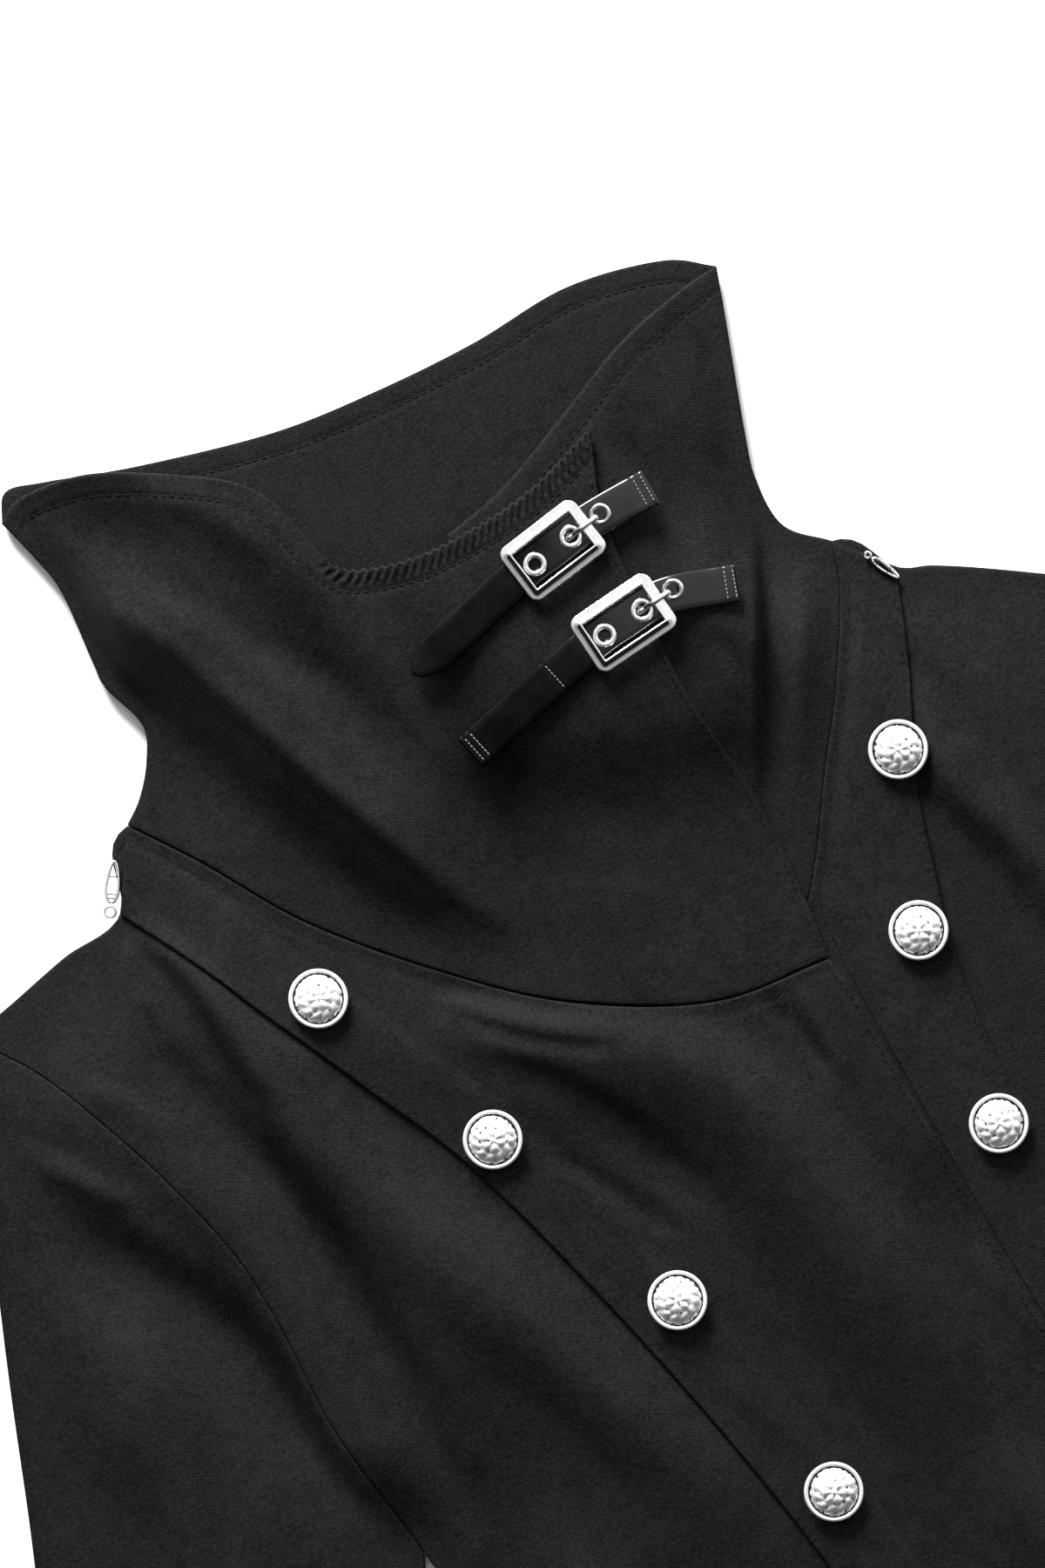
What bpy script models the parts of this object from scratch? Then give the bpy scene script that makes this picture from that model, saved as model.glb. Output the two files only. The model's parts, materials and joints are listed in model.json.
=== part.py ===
"""Cropped jacket with a tall buckled funnel collar, laid flat on a table.

The jacket lies on its back. +Z is up from the table, +Y runs towards the collar and +X is the
wearer's left. The origin is on the underside of the back panel, on the centre line, level with the
second pair of buttons. Sizes in the tables are millimetres; the meshes are built in metres.
"""
import math

import bmesh
import bpy
import numpy as np

MM = 0.001

# Cloth and hardware sizes
CLOTH = 1.5
STRIP_CLOTH = 1.3
LEATHER = 1.7
SEAM_GAP = 0.3
ARMHOLE_GAP = 0.9
LAY_GAP = 0.35
BODY_LIFT = 4.5
COLLAR_LIFT = 17.0
LAP_STEP = 2.7
FOLD_EDGE = 5.0
REST_FADE = 42.0
COLLAR_FADE = 44.0
COLLAR_FOLD_FADE = 13.0
COLLAR_SEAM_FADE = 24.0
COLLAR_START = 24.0
COLLAR_RISE = 90.0
DROP_WIDTH = 9.0
RETURN_SHARE = 0.45
RETURN_WIDTH = 12.0
SEAM_WIDTH = 14.0
LAP_START = -32.0
LAP_WIDTH = 28.0
STRAP_FADE = 13.0
SLEEVE_EDGE = 9.0
SLEEVE_SHOULDER = 48.0
SLEEVE_CROWN = 4.6
SLEEVE_TOP_SHARES = (0.035, 0.1)
SLEEVE_UNDER_SHARES = (0.07, 0.94)
SLEEVE_UNDER_CROWDING = 1.3
FOLD_END_SHARE = 0.3
BUTTON_STEM = 3.6
STRAP_WIDTH = 12.3
STRAP_TIP = 9.0
STRAP_TIP_SHARE = 0.12
STRAP_LIFT = 0.45
BUCKLE_LENGTH = 30.0
BUCKLE_HEIGHT = 20.8
BUCKLE_BAR = 3.8
BUCKLE_DEPTH = 2.4
BUCKLE_BEVEL = 0.6
BUCKLE_CORNER = 3.4
BUCKLE_INNER_CORNER = 0.9
EYELET_RADIUS = 2.8
EYELET_WIRE = 0.7
EYELET_REACH = 7.2
PRONG_RING_REACH = 19.0
PRONG_WIRE = 0.95
HOOK_WIRE = 0.6

# Rows and columns of the cloth grids
NECK_ROWS = 13
EDGE_ROWS = 15
OUTER_COLUMNS = 8
STRIP_COLUMNS = 3
INNER_COLUMNS = 9
COLLAR_ROWS = 16
SLEEVE_RINGS = 16
SLEEVE_TOP_POINTS = 14
SLEEVE_UNDER_POINTS = 7

# Plan of each seam and edge as x, y, from the collar down or from the wearer's right to left
NECK_RIGHT = [(-131.8, 145.6), (-116, 123.3), (-95.8, 91.5), (-66.4, 58.6), (-34.3, 30.2), (7.4, 8),
              (46.5, 3)]
NECK_LEFT = [(109.6, 120.4), (104, 104), (87.5, 76.5), (73.5, 57), (58, 34), (45, 19), (25, 9),
             (2, 3)]
NECK_BACK = [(109.6, 120.4), (60, 112), (0, 113), (-65, 126), (-131.8, 145.6)]
SHOULDER_RIGHT = [(-208.6, 109.4), (-193.3, 112.2), (-169.5, 117.8), (-147.1, 121.6)]
SHOULDER_LEFT = [(124, 103.5), (134.9, 98.1), (150.6, 88.6), (180, 69)]
SIDE_RIGHT = [(-208.6, 109.4), (-194.3, 89.5), (-184, 67), (-174.3, 40.8), (-165.6, 8.7), (-163.5, -20),
              (-163.8, -57), (-157, -105), (-149, -170), (-144, -235), (-143, -301)]
SIDE_LEFT = [(180, 69), (168, 35), (162, 0), (164, -40), (170, -80), (178, -122), (184, -180), (191, -230),
             (198, -269)]
UNDERARM_RIGHT = (-157, -105)
UNDERARM_LEFT = (178, -122)
STRIP_RIGHT_OUT = [(-147.1, 121.6), (-133.4, 96.4), (-119, 66.7), (-102.2, 32.6), (-86, -2.1),
                   (-67.7, -62.2), (-53, -123.4), (-44.5, -170), (-36, -232), (-30, -290.4)]
STRIP_RIGHT_IN = [(-133.2, 143.4), (-120.5, 121), (-107, 94.5), (-92.5, 65), (-76, 31), (-60.5, -3),
                  (-42.5, -62), (-27.5, -123.5), (-19, -170.5), (-10.5, -232), (-4.5, -288)]
STRIP_LEFT_OUT = [(124, 103.5), (116.6, 82.7), (104.6, 54.8), (96.5, 36.5), (89.5, 12), (82.5, -16),
                  (79.1, -49.9), (80, -69), (83.5, -99), (88.5, -145), (95.5, -221), (101.5, -278.5)]
STRIP_LEFT_IN = [(112, 117.5), (107, 102), (90.6, 74.6), (76.6, 55), (61, 32), (53, 20), (50.6, 6),
                 (50.2, -12), (50.4, -30), (51, -55), (52.1, -99), (54.6, -145), (59.6, -221), (64, -282)]
CENTRE_EDGE = [(46.5, 3), (48.4, -10), (48.8, -30), (49.4, -55), (50.5, -99), (53, -145), (58, -221),
               (62.5, -282)]
HIDDEN_EDGE = [(2, 3), (4, -40), (8, -99), (14, -160), (20, -225), (26, -285)]
HEM_RIGHT = [(-143, -301), (-30, -290.4), (-4.5, -288), (62.5, -282)]
HEM_LEFT = [(26, -285), (64, -282), (101.5, -278.5), (198, -269)]
COLLAR_SIDE_RIGHT = [(-122, 249.8), (-117.9, 235.1), (-115.4, 221.5), (-117.1, 196.9), (-117.3, 187.6),
                     (-112.5, 171.8), (-116.8, 160.9), (-124.2, 151.6), (-131.8, 145.6)]
COLLAR_SIDE_LEFT = [(118.6, 215.2), (112.8, 197.4), (102.1, 165.3), (97.7, 148.8), (98.5, 132),
                    (109.6, 120.4)]
LIP_RIGHT = [(-122, 249.8), (-112, 254), (-88.6, 249.4), (-58.8, 232.6), (-44.5, 219.3), (-38, 200.8),
             (-34.8, 188.5), (-27, 182), (-4.4, 176.9), (29, 178.7), (58.3, 187.7)]
LIP_LEFT = [(2, 179), (24.2, 184.1), (48.3, 193.9), (77.7, 206.6), (104, 213.4), (118.6, 215.2)]
LIP_BACK = [(-122, 249.8), (-116.3, 258.2), (-103.5, 255.1), (-73.8, 245.3), (-31.3, 234.7), (3.9, 231),
            (38.3, 230), (72.9, 231.8), (103.9, 225), (118.6, 215.2)]
COLLAR_EDGE = [(58.3, 187.7), (49.9, 164.8), (47.4, 147.2), (45.8, 104), (47.8, 78.7), (49.9, 60),
               (49.8, 35.2), (48.4, 17.7), (46.5, 3)]
COLLAR_HIDDEN_EDGE = [(2, 179), (0, 100), (2, 3)]
COLLAR_DROP = [(104, 170), (96.4, 144.1), (86.6, 123.2), (77.7, 105.3), (58.9, 70), (47, 48), (33, 24),
               (12, 14)]

# Folds: path, height, width of the side left of its travel, width of the other side
BODY_FOLDS = [
    ([(-192, 97), (-179, 69), (-169, 42), (-161, 10), (-158, -20), (-158, -57), (-152, -105),
      (-146, -170)], 5.5, 18, 26),
    ([(-142, 120), (-132, 95), (-129, 68), (-129, 28), (-125, -12), (-123, -55), (-127, -90),
      (-133, -120)], 4.5, 30, 15),
    ([(-142, 96), (-135, 66), (-127, 35), (-116, 1), (-103, -33), (-89, -67), (-68, -121),
      (-50, -168)], 5, 22, 22),
    ([(-112, 10), (-100, -40), (-88, -90), (-80, -140), (-76, -195)], 4.5, 32, 36),
    ([(-144, 84), (-143, 56), (-142, 28), (-140, -12), (-138, -55), (-141, -90), (-147, -115)],
     -2, 12, 10),
    ([(-92, 72), (-78, 46), (-61, 33), (-33, 14), (-8, -10), (4, -32), (9, -57), (14, -93),
      (17, -136), (16, -176)], 7.5, 21, 36),
    ([(-132, -110), (-118, -180), (-112, -275)], 5.5, 32, 18),
    ([(20, -150), (28, -220), (36, -290)], 4.0, 22, 20),
    ([(110, 74), (109, 34), (114, 14), (119, -8), (130, -60)], 6.0, 16, 12),
    ([(100, -70), (112, -120), (122, -190), (130, -270)], 5.0, 18, 20),
    ([(146, -90), (156, -160), (168, -240)], 4.5, 18, 16),
]
LAP_FOLDS = [([(49, 22), (49, -14), (50, -50), (53, -95)], 3.5, 14, 24)]
COLLAR_FOLDS = [
    ([(-129, 254), (-121, 234), (-111, 217), (-101, 203), (-93, 189), (-87, 173), (-80, 156),
      (-74, 139), (-67, 122), (-60, 105), (-53, 86), (-45, 69), (-34, 50)], 11.0, 30, 24),
    ([(-58, 228), (-46, 197), (-42, 173), (-38, 148), (-36, 125), (-32, 100), (-28, 72)], 3.5, 18, 18),
    ([(-52, 118), (-28, 98), (-5, 87), (22, 76), (52, 68), (84, 72)], -2.5, 24, 40),
    ([(84, 205), (84, 170), (74, 130), (62, 100)], 3.0, 20, 16),
]
SLEEVE_FOLDS = [
    ([(-222, 84), (-226, 20), (-232, -60)], 4.0, 18, 20),
    ([(-225, 75), (-215, 57), (-207, 36), (-193, 13), (-179, -12), (-173, -32), (-170, -58),
      (-164, -95)], -5.5, 17, 30),
    ([(-206, 20), (-214, -40), (-232, -130)], 3.5, 16, 18),
    ([(-262, -110), (-272, -190), (-306, -280)], 4.0, 18, 18),
    ([(-236, -230), (-282, -330), (-312, -400)], 3.5, 16, 16),
    ([(-330, -270), (-352, -350), (-380, -420)], 3.0, 16, 14),
    ([(194, 30), (208, -40), (216, -120)], 4.5, 16, 18),
    ([(232, -70), (250, -150), (280, -240)], 4.0, 18, 18),
    ([(246, -200), (276, -300), (292, -400)], 4.0, 16, 16),
    ([(306, -250), (328, -330), (352, -420)], 3.0, 16, 14),
]

# Sleeves: outer edge from the shoulder point and inner edge from the underarm, down to the cuff
SLEEVE_RIGHT_OUT = [(-208.6, 109.4), (-245.9, 13.7), (-268.8, -48.7), (-302, -131), (-345, -250),
                    (-385, -356), (-414, -433)]
SLEEVE_RIGHT_IN = [(-157, -105), (-176, -150), (-215, -245), (-262, -358), (-308, -472)]
SLEEVE_LEFT_OUT = [(180, 69), (222, -10), (256, -85), (292, -175), (330, -275), (365, -375), (392, -462)]
SLEEVE_LEFT_IN = [(178, -122), (192, -175), (220, -268), (250, -370), (284, -496)]

BUTTONS_RIGHT = [(-103.8, 68.1), (-75.5, 2.4), (-47.6, -70.6), (-32.3, -147.7), (-22.5, -225)]
BUTTONS_LEFT = [(97.2, 51.5), (75.7, -2.5), (69.4, -68.9), (76, -145), (84, -221)]
STRAP_UPPER = [(-28.3, 145), (14.2, 156.5), (29.4, 159.2), (44.5, 161.6), (66.5, 162.3)]
STRAP_LOWER = [(-24.1, 114.4), (22.5, 126.1), (38.6, 128.6), (54.6, 129.2), (76.5, 122.3)]
BUCKLE_UPPER = dict(centre=(29.4, 159.0), turn=9.5)
BUCKLE_LOWER = dict(centre=(38.4, 128.2), turn=6.0)
HOOK_RIGHT = dict(middle=(-144.7, 131.3, 3.6), turn=57, half_length=7.6, half_width=1.9)
HOOK_LEFT = dict(middle=(120.6, 104.9, 5.9), turn=-64, half_length=5.6, half_width=1.1)

# A button's half section: radius, height above its seat
BUTTON_PROFILE = [(0, 5.2), (3.4, 4.9), (6.2, 3.9), (8.0, 2.7), (9.2, 2.9), (9.6, 2.3), (8.6, 1.7),
                  (BUTTON_STEM, 1.7), (BUTTON_STEM, 0), (0, 0)]

# Where the collar under a strap's centre line and the strap under a buckle are felt for their height
STRAP_FEELERS = [(0, 0), (6, 0), (-6, 0), (0, 5), (0, -5)]
BUCKLE_FEELERS = (-15, -8, 0, 8, 15)

# The prong: way along the strap from its eyelet, share of its rise onto the buckle's bar
PRONG_RISE = [(-1.5, 0), (1.0, 0.1), (3.5, 1), (8.0, 1)]
PRONG_END = 10.5
PRONG_DROP = 0.6

CLOTH_COLOUR = (0.018, 0.018, 0.020)
LEATHER_COLOUR = (0.008, 0.008, 0.009)
METAL_COLOUR = (0.75, 0.75, 0.76)


# Curves and heights -----------------------------------------------------------------------------

def smooth_path(points, count=None):
    """Points evenly spaced along a smooth curve through the given ones."""
    p = np.array(points, float)
    if len(p) > 2:
        p = np.vstack([2 * p[0] - p[1], p, 2 * p[-1] - p[-2]])
        t = np.linspace(0, 1, 12, endpoint=False)[:, None]
        spans = []
        for a, b, c, d in zip(p, p[1:], p[2:], p[3:]):
            spans.append(0.5 * (2 * b + (c - a) * t + (2 * a - 5 * b + 4 * c - d) * t ** 2
                                + (3 * b - a - 3 * c + d) * t ** 3))
        p = np.vstack(spans + [p[-2:-1]])
    reach = np.r_[0, np.cumsum(np.hypot(*np.diff(p, axis=0).T))]
    at = np.linspace(0, reach[-1], count or 24)
    return np.column_stack([np.interp(at, reach, p[:, 0]), np.interp(at, reach, p[:, 1])])


def ease(t):
    t = np.clip(t, 0, 1)
    return t * t * (3 - 2 * t)


def nearest(path, x, y):
    """Signed distance from points to a path, left of its travel positive, and how far along it."""
    start, step = path[:-1], np.diff(path, axis=0)
    length = np.hypot(step[:, 0], step[:, 1])
    px, py = x[..., None] - start[:, 0], y[..., None] - start[:, 1]
    t = np.clip((px * step[:, 0] + py * step[:, 1]) / length ** 2, 0, 1)
    gap = np.hypot(px - t * step[:, 0], py - t * step[:, 1])
    k = gap.argmin(-1)[..., None]
    pick = lambda values: np.take_along_axis(values, k, -1)[..., 0]
    side = np.where(step[k[..., 0], 0] * pick(py) - step[k[..., 0], 1] * pick(px) >= 0, 1, -1)
    before = np.r_[0, np.cumsum(length)]
    along = (before[k[..., 0]] + pick(t) * length[k[..., 0]]) / before[-1]
    return side * pick(gap), along


def folds(rows, x, y):
    """Sum of soft ridges, each fading out at its two ends."""
    z = np.zeros(np.shape(x))
    for path, height, left_width, right_width in rows:
        gap, along = nearest(smooth_path(path), x, y)
        width = np.where(gap >= 0, left_width, right_width)
        crest = 0.5 + 0.5 * np.cos(np.pi * np.clip(np.abs(gap) / width, 0, 1))
        z += height * crest * ease(along / FOLD_END_SHARE) * ease((1 - along) / FOLD_END_SHARE)
    return z


def side_below(path, underarm):
    """The part of a side line from the underarm to the hem."""
    return [p for p in path if p[1] <= underarm[1]]


REST_LINES = [smooth_path(line) for line in (
    SHOULDER_RIGHT + [NECK_RIGHT[0]], SHOULDER_LEFT[::-1] + [NECK_LEFT[0]],
    side_below(SIDE_RIGHT, UNDERARM_RIGHT), side_below(SIDE_LEFT, UNDERARM_LEFT))]
COLLAR_LINES = [smooth_path(COLLAR_SIDE_RIGHT), smooth_path(COLLAR_SIDE_LEFT)]


def away_from(lines, x, y):
    return np.min([np.abs(nearest(line, x, y)[0]) for line in lines], axis=0)


def body_height(x, y):
    """Top of the front panels: it lies on the back at the seams and rises in folds between them."""
    free = ease(away_from(REST_LINES + COLLAR_LINES, x, y) / REST_FADE)
    return CLOTH + SEAM_GAP + CLOTH + (BODY_LIFT + folds(BODY_FOLDS, x, y)) * free


def collar_height(x, y):
    """Top of the collar's front: a stiff arch from the neck seam up to the lip."""
    side = away_from(COLLAR_LINES + REST_LINES[:2], x, y)
    seam = np.abs(nearest(smooth_path(NECK_RIGHT), x, y)[0])
    arch = BODY_LIFT + (COLLAR_LIFT - BODY_LIFT) * ease((seam - COLLAR_START) / COLLAR_RISE)
    folded = folds(COLLAR_FOLDS, x, y) * ease(side / COLLAR_FOLD_FADE) * ease(seam / COLLAR_SEAM_FADE)
    return CLOTH + SEAM_GAP + CLOTH + arch * ease(side / COLLAR_FADE) + folded


def lap(x, y):
    """Lift of the lapping front over the one beneath it."""
    hidden = smooth_path(COLLAR_HIDDEN_EDGE[:-1] + HIDDEN_EDGE)
    return LAP_STEP * ease((nearest(hidden, x, y)[0] - LAP_START) / LAP_WIDTH)


def right_body(x, y):
    return body_height(x, y) + lap(x, y) + folds(LAP_FOLDS, x, y)


def right_collar(x, y):
    return collar_height(x, y) + lap(x, y)


def left_collar(x, y):
    """The under piece drops steeply at a fold, rises again and comes down to its neck seam."""
    high, low = collar_height(x, y), body_height(x, y)
    past = nearest(smooth_path(COLLAR_DROP), x, y)[0]
    seam = np.abs(nearest(smooth_path(NECK_LEFT), x, y)[0])
    share = ease((1 - past) / DROP_WIDTH)
    share += RETURN_SHARE * ease((past - 2) / RETURN_WIDTH) * ease(seam / SEAM_WIDTH)
    return low + (high - low) * share


def sheet_under_straps(x, y):
    """Top of the collar where the straps lie, easing down past the lapping edge."""
    past = -nearest(smooth_path(COLLAR_EDGE), x, y)[0]
    return collar_height(x, y) + LAP_STEP * (1 - ease((-past - 3) / STRAP_FADE))


# Grids -------------------------------------------------------------------------------------------

def inset(line, distance):
    """Moves a line of points to the left of its travel."""
    travel = np.gradient(line, axis=0)
    travel /= np.hypot(travel[:, 0], travel[:, 1])[:, None]
    return line + distance * np.column_stack([-travel[:, 1], travel[:, 0]])


def patch(top, bottom, left, right):
    """Plan points of a four-sided cloth patch, from its top line down to its bottom line."""
    u = np.linspace(0, 1, len(top))[None, :, None]
    v = np.linspace(0, 1, len(left))[:, None, None]
    corners = ((1 - u) * (1 - v) * top[0] + u * (1 - v) * top[-1]
               + (1 - u) * v * bottom[0] + u * v * bottom[-1])
    return (1 - v) * top + v * bottom + (1 - u) * left[:, None] + u * right[:, None] - corners


def raised(plan, height):
    x, y = plan[..., 0], plan[..., 1]
    return np.dstack([x, y, height(x, y)])


def moved_out(grid, distance):
    """A grid's points moved out along its upward normals."""
    across, down = np.gradient(grid, axis=1), np.gradient(grid, axis=0)
    normal = np.cross(down, across)
    normal /= np.linalg.norm(normal, axis=2)[..., None]
    return grid + distance * normal * np.sign(normal[..., 2:3])


# Objects -----------------------------------------------------------------------------------------

def material(name, colour, roughness, metallic):
    made = bpy.data.materials.get(name) or bpy.data.materials.new(name)
    made.use_nodes = True
    shader = made.node_tree.nodes["Principled BSDF"]
    shader.inputs["Base Color"].default_value = (*colour, 1)
    shader.inputs["Roughness"].default_value = roughness
    shader.inputs["Metallic"].default_value = metallic
    return made


def cloth():
    return material("charcoal cloth", CLOTH_COLOUR, 0.9, 0)


def leather():
    return material("black leather", LEATHER_COLOUR, 0.35, 0)


def metal():
    return material("silver metal", METAL_COLOUR, 0.2, 1)


def place(name, data, finish, location=(0, 0, 0)):
    made = bpy.data.objects.new(name, data)
    made.location = [c * MM for c in location]
    data.materials.clear()
    data.materials.append(finish)
    bpy.data.collections["cropped_jacket"].objects.link(made)
    return made


def grid_mesh(name, grid, closed_round=False):
    """An open surface through a grid of points, facing up."""
    rows, columns = grid.shape[:2]
    points = [tuple(p * MM) for p in grid.reshape(-1, 3)]
    last = columns if closed_round else columns - 1
    faces = []
    for r in range(rows - 1):
        for c in range(last):
            a, b = r * columns + c, r * columns + (c + 1) % columns
            faces += [(a, a + columns, b + columns), (a, b + columns, b)]
    mesh = bpy.data.meshes.new(name)
    mesh.from_pydata(points, [], faces)
    work = bmesh.new()
    work.from_mesh(mesh)
    work.normal_update()
    highest = max(work.faces, key=lambda f: f.calc_center_median().z * (1 if closed_round else 0)
                  + abs(f.normal.z) * MM)
    if highest.normal.z < 0:
        bmesh.ops.reverse_faces(work, faces=work.faces)
    work.to_mesh(mesh)
    work.free()
    mesh.shade_smooth()
    mesh.set_sharp_from_angle(angle=math.radians(50))
    return mesh


def wall(name, grid, thickness, finish, outward=False, closed_round=False):
    """A cloth wall: an open surface with its thickness below it, or above it when outward."""
    made = place(name, grid_mesh(name, grid, closed_round), finish)
    solid = made.modifiers.new("thickness", "SOLIDIFY")
    solid.thickness = thickness * MM
    solid.offset = 1 if outward else -1
    return made


def flat_sheet(name, outline, thickness, base, finish):
    """A flat cut piece lying at height base."""
    curve = bpy.data.curves.new(name, "CURVE")
    curve.dimensions = "2D"
    curve.fill_mode = "BOTH"
    curve.extrude = thickness * MM / 2
    spline = curve.splines.new("POLY")
    spline.points.add(len(outline) - 1)
    for point, (x, y) in zip(spline.points, outline):
        point.co = (x * MM, y * MM, 0, 1)
    spline.use_cyclic_u = True
    return place(name, curve, finish, (0, 0, base + thickness / 2))


def wire(name, points, radius, finish, closed=False, sides=2):
    curve = bpy.data.curves.new(name, "CURVE")
    curve.dimensions = "3D"
    curve.bevel_depth = radius * MM
    curve.bevel_resolution = sides
    curve.use_fill_caps = not closed
    spline = curve.splines.new("POLY")
    spline.points.add(len(points) - 1)
    for point, (x, y, z) in zip(spline.points, points):
        point.co = (x * MM, y * MM, z * MM, 1)
    spline.use_cyclic_u = closed
    return place(name, curve, finish)


# Cloth pieces -------------------------------------------------------------------------------------

def two_part(upper, lower):
    """Points down a line with a corner in it, with a row on the corner."""
    return np.vstack([smooth_path(upper, NECK_ROWS + 1)[:-1], smooth_path(lower, EDGE_ROWS + 1)])


def front(name, shoulder, side, outer_line, inner_line, neck, edge, hem, height):
    """A front panel in three joined patches, so that its middle columns run under the button strip."""
    rows = NECK_ROWS + EDGE_ROWS + 1
    side, outer, inner = [smooth_path(line, rows) for line in (side, outer_line, inner_line)]
    lines = [side, outer, inner, two_part(neck, edge)]
    tops = [shoulder, [outer[0], inner[0]], [inner[0], neck[0]]]
    parts = []
    for k, columns in enumerate((OUTER_COLUMNS, STRIP_COLUMNS, INNER_COLUMNS)):
        made = patch(smooth_path(tops[k], columns + 1), smooth_path(hem[k:k + 2], columns + 1),
                     lines[k], lines[k + 1])
        parts.append(made if k == 0 else made[:, 1:])
    grid = raised(np.concatenate(parts, axis=1), height)
    wall(name, grid, CLOTH, cloth())
    return grid[:, OUTER_COLUMNS:OUTER_COLUMNS + STRIP_COLUMNS + 1]


def build_fronts():
    """Both fronts with their button strips; returns each strip's upper points."""
    panels = {"right": (SHOULDER_RIGHT, SIDE_RIGHT, STRIP_RIGHT_OUT, STRIP_RIGHT_IN, NECK_RIGHT, CENTRE_EDGE,
                        HEM_RIGHT, right_body),
              "left": (SHOULDER_LEFT[::-1], SIDE_LEFT, STRIP_LEFT_OUT, STRIP_LEFT_IN, NECK_LEFT, HIDDEN_EDGE,
                       HEM_LEFT[::-1], body_height)}
    strips = {}
    for side, panel in panels.items():
        under = moved_out(front(f"front_{side}", *panel), LAY_GAP)
        wall(f"button_strip_{side}", under, STRIP_CLOTH, cloth(), outward=True)
        strips[side] = moved_out(under, STRIP_CLOTH)
    return strips


def build_back():
    outline = np.vstack([smooth_path(SHOULDER_RIGHT, 6), smooth_path(NECK_BACK[::-1], 14),
                         smooth_path(SHOULDER_LEFT, 6)[:-1], smooth_path(SIDE_LEFT, 48),
                         smooth_path(HEM_RIGHT + HEM_LEFT[-1:], 12)[::-1][1:-1],
                         smooth_path(SIDE_RIGHT, 48)[::-1][:-1]])
    flat_sheet("back", outline, CLOTH, 0, cloth())


def seam_side(neck):
    """The collar's side of a neck seam, on the same points as the front's side and midway between."""
    seam = smooth_path(neck, NECK_ROWS + 1)
    middles = (seam[1:] + seam[:-1]) / 2
    both = np.empty((2 * NECK_ROWS + 1, 2))
    both[0::2], both[1::2] = seam, middles
    return both


def build_collar():
    def panel(lip, seam, upper_side, lower_side):
        sides = [smooth_path(line[:-1] + [tuple(seam[k])], COLLAR_ROWS + 1)
                 for line, k in ((upper_side, 0), (lower_side, -1))]
        return patch(smooth_path(lip, len(seam)), seam, *sides)
    right = panel(LIP_RIGHT, inset(seam_side(NECK_RIGHT), SEAM_GAP), COLLAR_SIDE_RIGHT, COLLAR_EDGE)
    wall("collar_right", raised(right, right_collar), CLOTH, cloth())
    left = panel(LIP_LEFT, inset(seam_side(NECK_LEFT)[::-1], SEAM_GAP), COLLAR_HIDDEN_EDGE, COLLAR_SIDE_LEFT)
    wall("collar_left", raised(left, left_collar), CLOTH, cloth())
    outline = np.vstack([smooth_path(LIP_BACK, 22)[:-1], smooth_path(COLLAR_SIDE_LEFT, 12)[:-1],
                         inset(smooth_path(NECK_BACK, 14), -SEAM_GAP),
                         smooth_path(COLLAR_SIDE_RIGHT, 14)[::-1][1:-1]])
    flat_sheet("collar_back", outline, CLOTH, 0, cloth())


def build_sleeve(name, side_line, underarm, outer, inner, height, head):
    """A flattened tube, open at the armhole and the cuff; head is the share its armhole height fades over."""
    armhole = [p for p in smooth_path(side_line, 200) if p[1] >= underarm[1]]
    near, far = SLEEVE_TOP_SHARES
    across = np.r_[0, near, np.linspace(far, 1 - far, SLEEVE_TOP_POINTS - 4), 1 - near, 1]
    outward = ARMHOLE_GAP if underarm[0] > 0 else -ARMHOLE_GAP
    arm = inset(smooth_path(armhole, 41), outward)
    rows = np.linspace(0, 1, SLEEVE_RINGS + 1)
    out_line = smooth_path([arm[0]] + outer[1:], SLEEVE_RINGS + 1)
    in_line = smooth_path([arm[-1]] + inner[1:], SLEEVE_RINGS + 1)
    cuff = smooth_path([outer[-1], inner[-1]], 41)
    plan = patch(arm, cuff, out_line, in_line)
    at = np.linspace(0, 1, 41)
    first, last = SLEEVE_UNDER_SHARES
    under = first + (last - first) * np.linspace(1, 0, SLEEVE_UNDER_POINTS) ** SLEEVE_UNDER_CROWDING
    rings = []
    for row, down in zip(plan, rows):
        pick = lambda t: np.column_stack([np.interp(t, at, row[:, 0]), np.interp(t, at, row[:, 1])])
        top, low = pick(across), pick(under)
        span = math.dist(row[0], row[-1])
        edge = ease(np.minimum(across, 1 - across) * span / SLEEVE_EDGE)
        full = ease(np.minimum(across, 1 - across) * span / SLEEVE_SHOULDER)
        x, y = top[:, 0], top[:, 1]
        free = FOLD_EDGE / 2 + FOLD_EDGE / 2 * edge + (SLEEVE_CROWN + folds(SLEEVE_FOLDS, x, y)) * full
        seam = height(x, y)
        z = seam + (free - seam) * ease(down / head)
        z[[0, -1]] = FOLD_EDGE / 2
        rings.append(np.vstack([np.column_stack([top, z]), np.column_stack([low, np.zeros(len(low))])]))
    grid = np.array(rings)
    wall(name, grid, CLOTH, cloth(), closed_round=True)


# Hardware ----------------------------------------------------------------------------------------

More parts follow.
